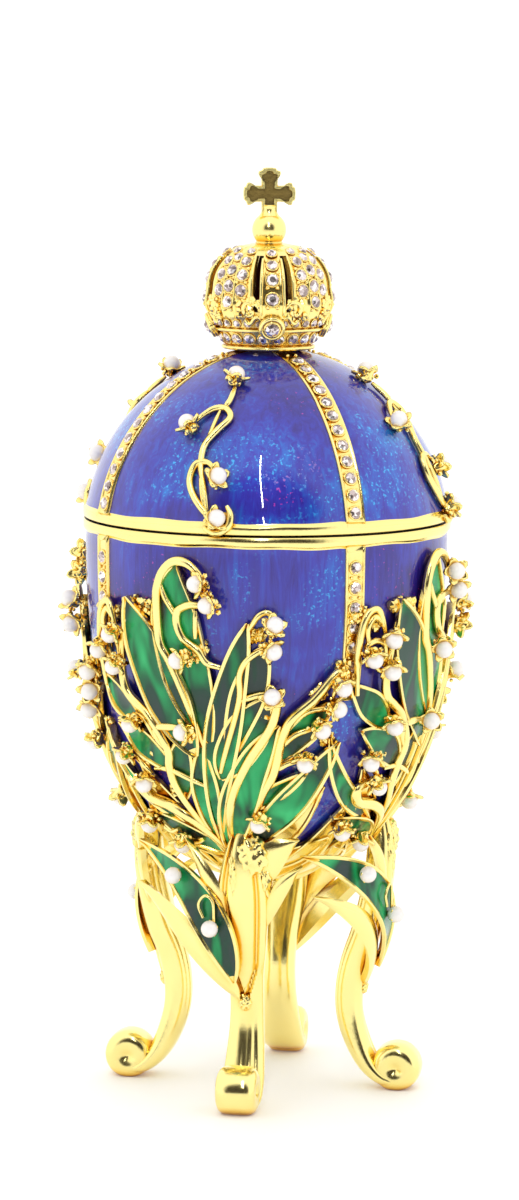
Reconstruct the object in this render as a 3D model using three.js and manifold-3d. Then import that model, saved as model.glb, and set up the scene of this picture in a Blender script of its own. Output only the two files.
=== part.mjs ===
// A jewelled egg trinket box on four curled legs, with a crown on its lid. Millimetres, +Z up,
// the origin on the table under the egg's middle. Each leg is one casting with the spray of leaves,
// stems and flower cups that wraps the lower egg above it. Pearls sit in the flower cups.
import * as THREE from "three";
import { mergeVertices } from "three/addons/utils/BufferGeometryUtils.js";
import Module from "manifold-3d";

const wasm = await Module();
wasm.setup();

// The egg: its joint is the widest place, and every height of it is measured from there.
const eggRadius = 25.5;
const jointHeight = 81.4;
const lidHeight = 23.8;
const bowlDepth = 51;
const lidRoundness = 1.75;
const bowlRoundness = 2.7;
const wall = 1.3;
const jointGap = 0.35;
const rimBand = 1.35;
const rimProud = 0.4;
const lipHeight = 1.8;
const lipWall = 0.8;
const lipClearance = 0.3;
const eggTurn = -6.5;

// The four raised bands that carry the small stones.
const bandCount = 4;
const bandWidth = 3;
const bandProud = 0.35;

// The crown, its ball and its cross.
const seatGap = 0.15;
const crownTurn = 14;
const crownFoot = 6.05;
const crownWall = 1.1;
const flareHeight = 2.7;
const flareRadius = 7.3;
const bulgeHeight = 8.3;
const bulgeRadius = 8.9;
const crownHeight = 14.6;
const crownCap = 2.2;
const crownRoundness = 1.24;
const crownArches = 4;
const slotWidth = 1;
const slotAngle = 15;
const slotLow = 5.4;
const slotHigh = 13.1;
const bezelRadius = 1.5;
const bezelProud = 0.4;
const bezelHeight = 3.4;
const ballRadius = 2.4;
const ballRise = 0.78; // how far the ball's middle stands above the crown, and the cross's foot above that,
const crossRise = 0.85; // as shares of the ball's radius
const crossHeight = 6.6;
const crossSpan = 7.3;
const crossArm = 2.2;
const crossDepth = 1.3;
const crossFlare = 0.35;

// Legs and feet. A leg's heights are shares of the height of its root.
const sideNames = ["front", "right", "back", "left"];
const rootDrop = 0.85;
const footSpread = 19.4;
const footRadius = 3.7;
const footWidth = 6.2;
const footFlat = 0.3;
const legShoulder = 16.4;
const legKnee = 14.9;
const legWaist = 12.5;
const legAnkle = 12.9;
const legWidth = 7.6;
const legThickness = 3.9;
const legSections = [
  // radius from the middle, then shares of the root's height, of the leg's width and of its thickness
  [legShoulder, 0.78, 1, 0.97],
  [legKnee, 0.6, 0.82, 1],
  [legWaist, 0.4, 0.63, 0.95],
  [legAnkle, 0.25, 0.645, 0.87],
];
const rootWidth = 0.68 * legWidth;
const rootThickness = 0.82 * legThickness;
const toeWidth = 0.74 * legWidth;
const toeThickness = 0.62 * legThickness;

// What grows from a leg's top: its own leaf, the thorn under it, a short leaf and a small thorn.
// Root, bend and tip are across and out as shares of the shoulder's radius, and up as a share of the
// root's height. The width is a share of a leaf's.
const leafWidth = 6.4;
const bracts = [
  [[-0.085, 0.939, 0.5], [-0.262, 1.268, 0.8], [-0.982, 0.482, 0.936], 1],
  [[-0.049, 0.829, 0.447], [-0.39, 1.159, 0.694], [-0.957, 0.579, 0.804], 0.44],
  [[0.037, 0.927, 0.788], [0.207, 1.098, 0.96], [0.463, 0.976, 1.007], 0.72],
  [[0.098, 0.902, 0.63], [0.268, 1, 0.83], [0.5, 0.976, 0.907], 0.41],
];
const bractDepth = 0.9;

// Leaves, stems and flowers. Angles are degrees to the right of the leg, seen from outside.
// Drops are shares of the bowl's depth, below the joint.
const sprayGap = 0.3;
const rimLift = 1.35;
const veinLift = 0.75;
const stemRadius = 0.55;
const stemLift = 0.95;
const cupLow = 0.6;
const cupTop = 1.35;
const cupFoot = 0.6;
const cupMouth = 1.7;
const pearlRadius = 1.2;
const pearlGap = 0.12;
const ownPearls = 9;

const leaves = [
  // base, middle, tip, share of the widest leaf's width
  [[-6, 0.58], [-23, 0.36], [-32, 0.19], 1],
  [[-5, 0.56], [-16, 0.3], [-15, 0.08], 0.81],
  [[0, 0.7], [-1, 0.43], [13.5, 0.215], 0.75],
  [[2, 0.72], [7.5, 0.48], [12.5, 0.29], 0.75],
  [[0, 0.85], [4.5, 0.69], [14.5, 0.5], 0.81],
  [[3, 0.85], [24, 0.72], [35, 0.57], 0.66],
  [[3, 0.84], [19, 0.6], [34, 0.395], 0.66],
  [[-13, 0.74], [-34, 0.55], [-46, 0.4], 0.75],
  [[-4, 0.85], [-38, 0.69], [-50, 0.52], 0.56],
  [[-3, 0.85], [-15, 0.7], [-15.5, 0.5], 0.69],
  [[-8, 0.79], [-27, 0.865], [-47, 0.79], 0.625],
];

const stems = [
  [[-6, 0.42], [-13, 0.25], [-9, 0.165], [-6.5, 0.18]],
  [[-13, 0.27], [-20.5, 0.13], [-16, 0.055], [-9.7, 0.125]],
  [[-28, 0.6], [-30, 0.36], [-37, 0.2], [-40.5, 0.282]],
  [[-40, 0.367], [-37, 0.27], [-43, 0.24], [-47, 0.33]],
];

// Flowers in order of size of show: the first of them have pearls that are pieces of their own.
const flowers = [
  [-9.7, 0.125], [-6.5, 0.18], [-15.8, 0.33], [-16, 0.522], [12.8, 0.227], [12.5, 0.298],
  [12.3, 0.418], [33.5, 0.4], [32.4, 0.455], [27.8, 0.51], [23.2, 0.6], [8, 0.767],
  [-36, 0.518], [-43, 0.61], [-36.5, 0.68], [-30, 0.842], [-46, 0.8], [-40, 0.367],
  [-40.5, 0.282], [-47, 0.33],
];

// The lid's sprays: angles from a panel's middle, and rises as shares of the lid's height.
const lidStemRadius = 0.5;
const lidStemLift = 0.6;
const lidCupTop = 0.2;
const lidStems = [
  [[-1.2, 0.11], [-6, 0.2], [-8.5, 0.3], [-6.5, 0.395], [-0.8, 0.36]],
  [[-1.5, 0.117], [-4.6, 0.3], [-5.9, 0.484], [-2.4, 0.567], [1.5, 0.635], [-1.2, 0.681], [-6.4, 0.679], [-12, 0.612]],
  [[-5.5, 0.5], [-4.2, 0.62], [-2.1, 0.69], [-0.4, 0.79]],
];
const lidFlowers = [[-0.8, 0.83], [-14.4, 0.58], [1.6, 0.315], [2.2, 0.096]];

// How finely the round shapes are faceted.
const panelSteps = 5;
const bowlRows = 7;
const lidRows = 5;
const innerRows = 4;
const crownSteps = 14;
const legSides = 6;
const facetSwell = 1.08; // a leg's few corners stand out a little, so that its faces lie nearer its true size
const legRows = 2;
const leafRows = 3;
const bractRows = 4;
const stemSides = 3;
const cupSides = 4;
const budSides = 4;

const gold = { color: 0xe0b84a, roughness: 0.2, metalness: 1 };
const blueEnamel = { color: 0x2430a8, roughness: 0.15, metalness: 0.3 };
const pearlWhite = { color: 0xf6f0e8, roughness: 0.25, metalness: 0 };

const radians = THREE.MathUtils.degToRad;

// Geometry to a solid, and back to a mesh of its own.
function solidOf(geometry) {
  const bare = geometry.index ? geometry.toNonIndexed() : geometry.clone();
  bare.deleteAttribute("normal");
  bare.deleteAttribute("uv");
  const merged = mergeVertices(bare, 1e-4);
  const index = merged.index.array;
  const kept = [];
  for (let i = 0; i < index.length; i += 3) {
    const [a, b, c] = [index[i], index[i + 1], index[i + 2]];
    if (a !== b && b !== c && c !== a) kept.push(a, b, c);
  }
  const vertProperties = merged.attributes.position.array;
  return new wasm.Manifold(new wasm.Mesh({ numProp: 3, vertProperties, triVerts: new Uint32Array(kept) }));
}

function meshOf(name, solid, material) {
  const made = solid.getMesh();
  const geometry = new THREE.BufferGeometry();
  geometry.setAttribute("position", new THREE.BufferAttribute(new Float32Array(made.vertProperties), 3));
  geometry.setIndex(new THREE.BufferAttribute(new Uint32Array(made.triVerts), 1));
  geometry.computeVertexNormals();
  const mesh = new THREE.Mesh(geometry, new THREE.MeshStandardMaterial(material));
  mesh.name = name;
  return mesh;
}

const joined = (solids) => solids.reduce((whole, piece) => whole.add(piece));

// A solid turned round the egg's axis.
function turned(solid, degrees) {
  return solid.rotate([0, 0, degrees]);
}

// A closed skin over rings of points. A ring of one point is a tip, and any other end ring is capped.
function skin(rings) {
  const points = [];
  const starts = rings.map((ring) => points.push(...ring) - ring.length);
  const faces = [];
  for (let i = 0; i + 1 < rings.length; i++) {
    const [low, high] = [rings[i].length, rings[i + 1].length];
    const sides = Math.max(low, high);
    for (let j = 0; j < sides; j++) {
      const k = (j + 1) % sides;
      const a = starts[i] + (j % low);
      const b = starts[i] + (k % low);
      const c = starts[i + 1] + (k % high);
      const d = starts[i + 1] + (j % high);
      if (low > 1) faces.push([a, b, c]);
      if (high > 1) faces.push([a, c, d]);
    }
  }
  for (const [end, sense] of [[0, 1], [rings.length - 1, -1]]) {
    for (let j = 1; j + 1 < rings[end].length; j++) {
      const fan = [starts[end], starts[end] + j + 1, starts[end] + j];
      faces.push(sense > 0 ? fan : fan.reverse());
    }
  }
  const volume = faces.reduce((sum, [a, b, c]) => sum + points[a].dot(points[b].clone().cross(points[c])), 0);
  const geometry = new THREE.BufferGeometry().setFromPoints(points);
  geometry.setIndex((volume < 0 ? faces.map((face) => [...face].reverse()) : faces).flat());
  return solidOf(geometry);
}

// A lathe about the egg's axis: pairs of radius and height, with the material inside them.
function turnedSolid(outline, steps) {
  const points = outline.map(([radius, height]) => new THREE.Vector2(radius, height));
  const geometry = new THREE.LatheGeometry(points, steps).rotateX(Math.PI / 2);
  const solid = solidOf(geometry);
  return solid.volume() > 0 ? solid : solidOf(geometry.setIndex([...geometry.index.array].reverse()));
}

// The egg's outside: radius and height at a share of the way from the joint to its end.
const bowlAt = (drop) => [
  eggRadius * Math.sqrt(Math.max(0, 1 - drop ** bowlRoundness)),
  jointHeight - drop * bowlDepth,
];
const lidAt = (rise) => [
  eggRadius * Math.sqrt(Math.max(0, 1 - rise ** lidRoundness)),
  jointHeight + rise * lidHeight,
];

// A point off the surface: angle in degrees from -Y towards +X, share along the profile, and lift.
function offSurface(profile, angle, share, lift) {
  const [radius, height] = profile(share);
  const step = 1e-3;
  const [lowRadius, lowHeight] = profile(Math.max(0, share - step));
  const [highRadius, highHeight] = profile(share + step);
  const along = new THREE.Vector2(highRadius - lowRadius, highHeight - lowHeight).normalize();
  const outward = new THREE.Vector2(Math.abs(along.y), -along.x * Math.sign(along.y));
  const far = radius + outward.x * lift;
  return new THREE.Vector3(
    far * Math.sin(radians(angle)),
    -far * Math.cos(radians(angle)),
    height + outward.y * lift,
  );
}

const onBowl = (angle, drop, lift) => offSurface(bowlAt, angle, drop, lift);
const onLid = (angle, rise, lift) => offSurface(lidAt, angle, rise, lift);

// The egg's two halves: outside from the end to the rim, then inside back to the end. A place is
// radius, height and how proud of it the raised bands stand.
function shell(profile, inner, rows, side, lip) {
  const shares = (count) => Array.from({ length: count - 1 }, (_, i) => Math.sin(((i + 1) / count) * Math.PI / 2));
  const face = jointHeight + (side * jointGap) / 2;
  const rim = eggRadius + rimProud;
  const outside = shares(rows).map((share) => [...profile(share), bandProud]);
  const inside = shares(innerRows).map((share) => [...inner(share), 0]);
  const places = [
    ...outside.reverse(),
    [eggRadius, face + side * rimBand, bandProud],
    [rim, face + side * (rimBand - rimProud / 2), 0],
    [rim, face, 0],
    ...lip,
    ...inside,
  ];
  const rings = places.map(([radius, height, proud]) => bandedRing(radius, height, proud));
  const tip = ([, height]) => [new THREE.Vector3(0, 0, height)];
  return skin([tip(profile(1)), ...rings, tip(inner(1))]);
}

// A ring round the egg. It has a corner at each edge of each band, and steps out between them.
function bandedRing(radius, height, proud) {
  const ring = [];
  const at = (far, angle) => ring.push(new THREE.Vector3(far * Math.cos(angle), far * Math.sin(angle), height));
  const quarter = (2 * Math.PI) / bandCount;
  const half = Math.asin(Math.min(0.9, bandWidth / 2 / radius));
  for (let i = 0; i < bandCount; i++) {
    const middle = (i + 0.5) * quarter;
    at(radius, middle - half);
    at(radius + proud, middle - half);
    at(radius + proud, middle + half);
    at(radius, middle + half);
    for (let j = 1; j < panelSteps; j++) {
      at(radius, middle + half + ((quarter - 2 * half) * j) / panelSteps);
    }
  }
  return ring;
}

const innerBowlAt = (drop) => {
  const [radius] = bowlAt(drop);
  return [(radius * (eggRadius - wall)) / eggRadius, jointHeight - drop * (bowlDepth - wall)];
};
const innerLidAt = (rise) => {
  const [radius] = lidAt(rise);
  return [(radius * (eggRadius - wall)) / eggRadius, jointHeight + rise * (lidHeight - wall)];
};

function bowl() {
  const lipOuter = innerLidAt(lipHeight / lidHeight)[0] - lipClearance;
  const lipInner = lipOuter - lipWall;
  const face = jointHeight - jointGap / 2;
  const lip = [
    [lipOuter, face, 0],
    [lipOuter, jointHeight + lipHeight, 0],
    [lipInner, jointHeight + lipHeight, 0],
    [lipInner, face - lipHeight, 0],
  ];
  return turned(shell(bowlAt, innerBowlAt, bowlRows, -1, lip), eggTurn);
}

function lid() {
  const face = jointHeight + jointGap / 2;
  const mouth = [[eggRadius - wall, face, 0], [...innerLidAt((2 * lipHeight) / lidHeight), 0]];
  const body = shell(lidAt, innerLidAt, lidRows, 1, mouth);
  const sprays = Array.from({ length: bandCount }, (_, i) => turned(lidSpray(), (i * 360) / bandCount));
  return turned(joined([body, ...sprays]), eggTurn);
}

// A round stem through places on the egg, lifted off it.
function stem(surface, places, radius, lift) {
  const points = places.map(([angle, share]) => surface(angle, share, lift));
  const curve = new THREE.CatmullRomCurve3(points, false, "centripetal");
  const steps = Math.round(1.3 * (places.length - 1));
  const rings = Array.from({ length: steps + 1 }, (_, i) => {
    const centre = curve.getPoint(i / steps);
    const along = curve.getTangent(i / steps);
    const outward = new THREE.Vector3(centre.x, centre.y, 0).normalize();
    const across = along.clone().cross(outward).normalize();
    const up = across.clone().cross(along).normalize();
    return Array.from({ length: stemSides }, (_, j) => {
      const around = (j / stemSides + 0.25) * 2 * Math.PI;
      return centre.clone()
        .addScaledVector(across, radius * Math.cos(around))
        .addScaledVector(up, radius * Math.sin(around));
    });
  });
  return skin(rings);
}

// Rings of radius and lift, stacked square to the surface at one place on it.
function stacked(surface, angle, share, sides, pairs) {
  const foot = surface(angle, share, 0);
  const outward = surface(angle, share, 1).sub(foot).normalize();
  const across = new THREE.Vector3(0, 0, 1).cross(outward).normalize();
  const up = outward.clone().cross(across);
  return skin(pairs.map(([radius, lift]) => Array.from({ length: radius ? sides : 1 }, (_, j) => {
    const around = ((j + 0.5) / sides) * 2 * Math.PI;
    return foot.clone()
      .addScaledVector(outward, lift)
      .addScaledVector(across, radius * Math.cos(around))
      .addScaledVector(up, radius * Math.sin(around));
  })));
}

// A flower cup: a cone with its foot sunk in the casting and its mouth open to the pearl.
function cup(surface, angle, share, foot, top) {
  return stacked(surface, angle, share, cupSides, [[cupFoot, foot], [cupMouth, top]]);
}

// A flower cup with its pearl in it as one form, for the flowers whose pearls have no piece of their own.
function bud(surface, angle, share, foot) {
  const middle = cupTop + pearlRadius / 4;
  const end = cupTop + 2 * pearlRadius;
  return stacked(surface, angle, share, budSides, [[cupFoot, foot], [cupMouth, middle], [0, end]]);
}

// A pearl on a cup whose mouth is at a lift, with its pole towards the cup.
function pearl(surface, angle, share, top) {
  const centre = surface(angle, share, top + pearlRadius + pearlGap);
  const outward = centre.clone().sub(surface(angle, share, 0)).normalize();
  const ball = new THREE.SphereGeometry(pearlRadius, 6, 3);
  ball.applyQuaternion(new THREE.Quaternion().setFromUnitVectors(new THREE.Vector3(0, 1, 0), outward));
  return solidOf(ball.translate(centre.x, centre.y, centre.z));
}

function lidSpray() {
  const runs = lidStems.map((places) => stem(onLid, places, lidStemRadius, lidStemLift));
  const cups = lidFlowers.map(([angle, rise]) => cup(onLid, angle, rise, -wall / 2, lidCupTop));
  return joined([...runs, ...cups]);
}

// A leaf: a pointed blade that hugs the egg, with high edges and a hollow along its middle.
function leaf([base, middle, tip, breadth]) {
  const at = (t) => [0, 1].map((i) => {
    const bend = 2 * middle[i] - (base[i] + tip[i]) / 2;
    return (1 - t) ** 2 * base[i] + 2 * t * (1 - t) * bend + t ** 2 * tip[i];
  });
  const spine = (t) => onBowl(...at(t), 0);
  const rings = [];
  for (let i = 0; i <= leafRows; i++) {
    const t = i / leafRows;
    const centre = spine(t);
    if (i === 0 || i === leafRows) {
      rings.push([onBowl(...at(t), (rimLift + sprayGap) / 2)]);
      continue;
    }
    const along = spine(t + 0.02).sub(spine(t - 0.02));
    const outward = onBowl(...at(t), 1).sub(centre);
    const side = along.cross(outward).normalize();
    const half = ((breadth * leafWidth) / 2) * Math.sin(Math.PI * t ** 0.85) ** 0.7;
    const place = (offset, lift) => {
      const point = centre.clone().addScaledVector(side, offset);
      const angle = THREE.MathUtils.radToDeg(Math.atan2(point.x, -point.y));
      return onBowl(angle, (jointHeight - point.z) / bowlDepth, lift);
    };
    rings.push([place(-half, rimLift), place(0, veinLift), place(half, rimLift), place(0, sprayGap)]);
  }
  return skin(rings);
}

// One leg: a sweep with flattened round sections from the spray's root to the curled foot.
function leg() {
  const [rootRadius, rootHeight] = bowlAt(rootDrop);
  const centreHeight = footRadius - footFlat;
  const sections = [
    [rootRadius + sprayGap + rootThickness / 2, 1, rootWidth, rootThickness],
    ...legSections.map(([radius, share, wide, thick]) => [radius, share, wide * legWidth, thick * legThickness]),
    [footSpread - footRadius / 2, 0.95 * (toeThickness / rootHeight), toeWidth, toeThickness],
  ];
  const points = sections.map(([radius, share]) => new THREE.Vector3(0, -radius, share * rootHeight));
  const curve = new THREE.CatmullRomCurve3(points, false, "centripetal");
  const count = (sections.length - 1) * legRows;
  const rings = Array.from({ length: count + 1 }, (_, i) => {
    const centre = curve.getPoint(i / count);
    const along = curve.getTangent(i / count);
    const outward = new THREE.Vector3(-1, 0, 0).cross(along).normalize();
    const low = Math.min(Math.floor(i / legRows), sections.length - 2);
    const part = i / legRows - low;
    const [width, thickness] = [2, 3].map((k) => THREE.MathUtils.lerp(sections[low][k], sections[low + 1][k], part));
    return Array.from({ length: legSides }, (_, j) => {
      const around = (j / legSides) * 2 * Math.PI;
      return centre.clone()
        .addScaledVector(new THREE.Vector3(1, 0, 0), (facetSwell / 2) * width * Math.cos(around))
        .addScaledVector(outward, (facetSwell / 2) * thickness * Math.sin(around));
    });
  });
  const barrel = [0.62, 1, 1, 0.62].map((share, i) => [share * footRadius, (i / 3 - 0.5) * footWidth]);
  const outline = [[0, -footWidth / 2], ...barrel, [0, footWidth / 2]].map(([x, y]) => new THREE.Vector2(x, y));
  const curl = new THREE.LatheGeometry(outline, 9);
  curl.rotateZ(Math.PI / 2).translate(0, -footSpread, centreHeight);
  const ground = new THREE.BoxGeometry(8 * footSpread, 8 * footSpread, 4 * footRadius);
  ground.translate(0, 0, -2 * footRadius);
  return joined([skin(rings), solidOf(curl)]).subtract(solidOf(ground));
}

// A bract: a pointed blade, broad across and thin outwards, that curves away from the leg.
function bract([root, bend, tip, breadth]) {
  const rootHeight = bowlAt(rootDrop)[1];
  const [start, middle, end] = [root, bend, tip].map(([across, out, up]) => new THREE.Vector3(
    across * legShoulder,
    -out * legShoulder,
    up * rootHeight,
  ));
  const curve = new THREE.QuadraticBezierCurve3(start, middle, end);
  const rings = Array.from({ length: bractRows - 1 }, (_, i) => {
    const t = (i + 1) / bractRows;
    const centre = curve.getPoint(t);
    const outward = new THREE.Vector3(centre.x, centre.y, 0).normalize();
    const across = curve.getTangent(t).cross(outward).normalize();
    const half = ((breadth * leafWidth) / 2) * Math.sin(Math.PI * t ** 0.8);
    return [[half, 0], [0, bractDepth], [-half, 0], [0, -bractDepth]].map(([aside, out]) => centre.clone()
      .addScaledVector(across, aside)
      .addScaledVector(outward, out));
  });
  return skin([[start], ...rings, [end]]);
}

function legAndSpray() {
  const blades = leaves.map(leaf);
  const runs = stems.map((places) => stem(onBowl, places, stemRadius, stemLift));
  const cups = flowers.slice(0, ownPearls).map(([angle, drop]) => cup(onBowl, angle, drop, cupLow, cupTop));
  const buds = flowers.slice(ownPearls).map(([angle, drop]) => bud(onBowl, angle, drop, cupLow));
  return joined([leg(), ...bracts.map(bract), ...blades, ...runs, ...cups, ...buds]);
}

// The crown: a hollow turned body cut by slots, with four bezels, a ball and a cross.
function crown() {
  const seat = crownFoot - crownWall;
  const seatRise = (1 - (seat / eggRadius) ** 2) ** (1 / lidRoundness);
  const base = lidAt(seatRise)[1] + bandProud + seatGap;
  const upper = (inset) => [0.4, 0.75, 1].map((step) => {
    const angle = (step * Math.PI) / 2;
    return [
      crownCap + (bulgeRadius - inset - crownCap) * Math.cos(angle) ** crownRoundness,
      base + bulgeHeight + (crownHeight - inset - bulgeHeight) * Math.sin(angle),
    ];
  });
  const outer = [
    [crownFoot, base],
    [flareRadius, base + flareHeight],
    [bulgeRadius, base + bulgeHeight],
    ...upper(0),
    [0, base + crownHeight],
  ];
  const inner = [
    [0, base + crownHeight - crownWall],
    ...upper(crownWall).reverse(),
    [bulgeRadius - crownWall, base + bulgeHeight],
    [flareRadius - crownWall, base + flareHeight],
    [seat, base],
  ];
  const body = turnedSolid([...outer, ...inner, outer[0]], crownSteps);
  const slot = new THREE.BoxGeometry(slotWidth, bulgeRadius, slotHigh - slotLow);
  slot.translate(0, -bulgeRadius / 2 - crownCap, base + (slotLow + slotHigh) / 2);
  const slots = [];
  for (let i = 0; i < crownArches; i++) {
    for (const side of [-1, 1]) slots.push(turned(solidOf(slot), (i * 360) / crownArches + side * slotAngle));
  }
  const bezel = new THREE.CylinderGeometry(bezelRadius, bezelRadius, 2 * bezelProud + crownWall, 6);
  const tilt = Math.atan2(bulgeRadius - flareRadius, bulgeHeight - flareHeight);
  bezel.rotateX(tilt).translate(0, -flareRadius, base + bezelHeight);
  const bezels = Array.from({ length: crownArches }, (_, i) => turned(solidOf(bezel), (i * 360) / crownArches));
  const ballHeight = base + crownHeight + ballRadius * ballRise;
  const ball = new THREE.SphereGeometry(ballRadius, 8, 5).rotateX(Math.PI / 2).translate(0, 0, ballHeight);
  const top = cross().translate([0, 0, ballHeight + ballRadius * crossRise]);
  const whole = joined([body.subtract(joined(slots)), ...bezels, solidOf(ball), top]);
  return turned(whole, crownTurn);
}

// A cross with flared ends and a waisted foot, standing on its foot and facing -Y.
function cross() {
  const half = crossArm / 2;
  const flared = half + crossFlare;
  const span = crossSpan / 2;
  const high = crossHeight;
  const mid = crossHeight - span;
  const shape = new THREE.Shape([
    [-half * 0.6, 0], [half * 0.6, 0], [half * 0.8, mid - flared], [half, mid - half],
    [span - half / 2, mid - flared], [span, mid - half / 2], [span, mid + half / 2],
    [span - half / 2, mid + flared], [half, mid + half],
    [flared, high - half / 2], [half / 2, high], [-half / 2, high], [-flared, high - half / 2],
    [-half, mid + half], [half / 2 - span, mid + flared], [-span, mid + half / 2], [-span, mid - half / 2],
    [half / 2 - span, mid - flared], [-half, mid - half], [-half * 0.8, mid - flared],
  ].map(([x, y]) => new THREE.Vector2(x, y)));
  const plate = new THREE.ExtrudeGeometry(shape, { depth: crossDepth, bevelEnabled: false });
  return solidOf(plate.translate(0, 0, -crossDepth / 2).rotateX(Math.PI / 2));
}

const egg = new THREE.Group();
egg.add(meshOf("bowl", bowl(), blueEnamel));
egg.add(meshOf("lid", lid(), blueEnamel));
egg.add(meshOf("crown", crown(), gold));
for (let i = 0; i < bandCount; i++) {
  const facing = eggTurn + (i * 360) / bandCount;
  lidFlowers.forEach(([angle, rise], j) => {
    const bead = turned(pearl(onLid, angle, rise, lidCupTop), facing);
    egg.add(meshOf(`lid_pearl_${sideNames[i]}_${j + 1}`, bead, pearlWhite));
  });
}
const casting = legAndSpray();
sideNames.forEach((side, i) => {
  const facing = (i * 360) / sideNames.length;
  egg.add(meshOf(`leg_and_spray_${side}`, turned(casting, facing), gold));
  flowers.slice(0, ownPearls).forEach(([angle, drop], j) => {
    const bead = turned(pearl(onBowl, angle, drop, cupTop), facing);
    egg.add(meshOf(`pearl_${side}_${j + 1}`, bead, pearlWhite));
  });
});

export default egg;
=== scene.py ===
"""A jewelled egg trinket box: blue enamel shells, a crown, and gold leaves on curled legs.

Sizes are millimetres until a mesh is made. A place on the egg is an angle, in degrees from -Y
towards +X, and a share of the way from the joint to the lid's top, its rise, or to the bowl's end,
its drop.
"""
import math
import random
import bmesh
import bpy
from mathutils import Matrix, Vector


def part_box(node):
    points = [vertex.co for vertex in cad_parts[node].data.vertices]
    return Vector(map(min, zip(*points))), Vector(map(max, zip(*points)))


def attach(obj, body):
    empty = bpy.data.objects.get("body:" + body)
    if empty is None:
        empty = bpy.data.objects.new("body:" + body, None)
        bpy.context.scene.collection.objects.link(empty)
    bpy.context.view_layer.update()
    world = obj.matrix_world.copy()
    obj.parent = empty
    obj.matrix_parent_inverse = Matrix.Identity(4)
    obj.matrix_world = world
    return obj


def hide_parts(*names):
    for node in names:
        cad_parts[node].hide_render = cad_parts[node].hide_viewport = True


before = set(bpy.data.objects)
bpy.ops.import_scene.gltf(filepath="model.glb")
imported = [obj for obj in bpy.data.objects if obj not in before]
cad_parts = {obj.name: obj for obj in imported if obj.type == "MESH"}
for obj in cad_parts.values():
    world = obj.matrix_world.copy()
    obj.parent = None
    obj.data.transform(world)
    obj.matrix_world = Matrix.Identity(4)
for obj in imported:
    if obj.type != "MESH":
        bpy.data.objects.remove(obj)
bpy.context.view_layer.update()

MM = 0.001
SIDES = ("front", "right", "back", "left")
QUARTER = 90.0


def box_of(node):
    """A node's lowest and highest corners, in millimetres."""
    low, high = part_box(node)
    return Vector(low) / MM, Vector(high) / MM


# The points in a full circle, where a shape is turned about the egg's axis.
CIRCLE_POINTS = 32

# The egg: what the frame doesn't give is named here.
EGG_RADIUS = 25.5
JOINT_GAP = 0.35
WALL = 1.3
EGG_TURN = -6.5
LID_ROUNDNESS = 1.75
BOWL_ROUNDNESS = 2.7
RIM_BAND = 1.35
RIM_PROUD = 0.4
RIM_MARGIN = 0.6
SMOOTH_BY_RIM = 4
POOL_DEPTH = 0.16
POOL_WIDTH = 0.5
LIP_WALL = 0.8
LIP_CLEARANCE = 0.3
JOINT = box_of("lid")[0].z - JOINT_GAP / 2
LID_HEIGHT = box_of("lid")[1].z - JOINT
LIP_HEIGHT = box_of("bowl")[1].z - JOINT
BOWL_DEPTH = JOINT - box_of("bowl")[0].z

# The raised bands, as share of half their width and lift: two rails with a channel for stones.
BAND_WIDTH = 3.0
BAND_SECTION = ((1.0, 0.0), (0.97, 0.3), (0.88, 0.42), (0.78, 0.38), (0.7, 0.2))
BAND_END = 0.47
PANEL_STEPS = 44

# The stones in the bands: the first one's way from the joint, the spacing, and the least radius
# of the egg at the last. Two beads of gold lie below each stone.
LID_STONES = (2.9, 2.4, 6.9)
BOWL_STONES = (4.5, 2.75, 4.0)
BOWL_STONE_COUNT = 7
STONE_RADIUS = 0.9
STONE_LIFT = 0.24
BEAD_RADIUS = 0.26
BEAD_LIFT = 0.26
BEAD_DROP = 0.5 * BOWL_STONES[1]
BEAD_ASIDE = 0.62

# The crown, measured up from its foot.
CROWN_FOOT = box_of("crown")[0].z
CROWN_TURN = 14.0
CROWN_WALL = 1.1
CROWN_HEIGHT = 14.6
BULGE_HEIGHT = 8.3
BULGE_RADIUS = 8.15
CROWN_CAP = 2.2
CROWN_ROUNDNESS = 0.62
# Its foot ring, its flange and the foot of its bulge, as height and radius.
CROWN_FOOT_OUTLINE = ((0, 6.1), (0.3, 6.35), (0.55, 6.1), (2.45, 6.95), (2.6, 7.35), (2.95, 7.4),
                      (3.1, 7.3), (4.3, 7.8), (6.2, 8.55), (BULGE_HEIGHT, BULGE_RADIUS))
# Its four pairs of slots, as an angle each side of an arch.
SLOT_ANGLE = 15.0
SLOT_WIDTH = 1.0
SLOT_LOW = 5.4
SLOT_HIGH = 13.1
SLOT_ROWS = 16
RELIEF_LOW = 4.4
RELIEF_HIGH = 14.2
RIB_ANGLES = (7.5, 23.0)
ARCH_COLUMNS = 12
PANEL_COLUMNS = 36

# Flowers and pearls.
PEARL_RADIUS = 1.2
PEARL_LIFT = 2.67
LID_PEARL_LIFT = 1.52
OWN_PEARLS = 9
CUP_RADIUS = 1.75
CUP_SETBACK = 0.45
CUP_LEAN = 1.1
CRUMBS = 12
CRUMB_RADIUS = 0.36
CRUMBS_ASIDE = (0.7, 1.45)
CRUMBS_BACK = (0.75, 1.5)
CRUMB_SIZES = (0.7, 1.25)
WIRE_SIDES = 8


class Socket:
    """One value in a node tree. Python's operators on it add Math nodes."""

    def __init__(self, graph, socket):
        self.graph = graph
        self.socket = socket

    def math(self, operation, *others):
        values = dict(enumerate((self, *others)))
        return self.graph.node("ShaderNodeMath", {"operation": operation}, values)

    def __add__(self, other):
        return self.math("ADD", other)

    def __sub__(self, other):
        return self.math("SUBTRACT", other)

    def __mul__(self, other):
        return self.math("MULTIPLY", other)

    def __rsub__(self, other):
        return (self * -1.0) + other

    __radd__ = __add__
    __rmul__ = __mul__

    def clamped(self):
        return self.graph.node("ShaderNodeClamp", {}, {"Value": self})


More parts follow.
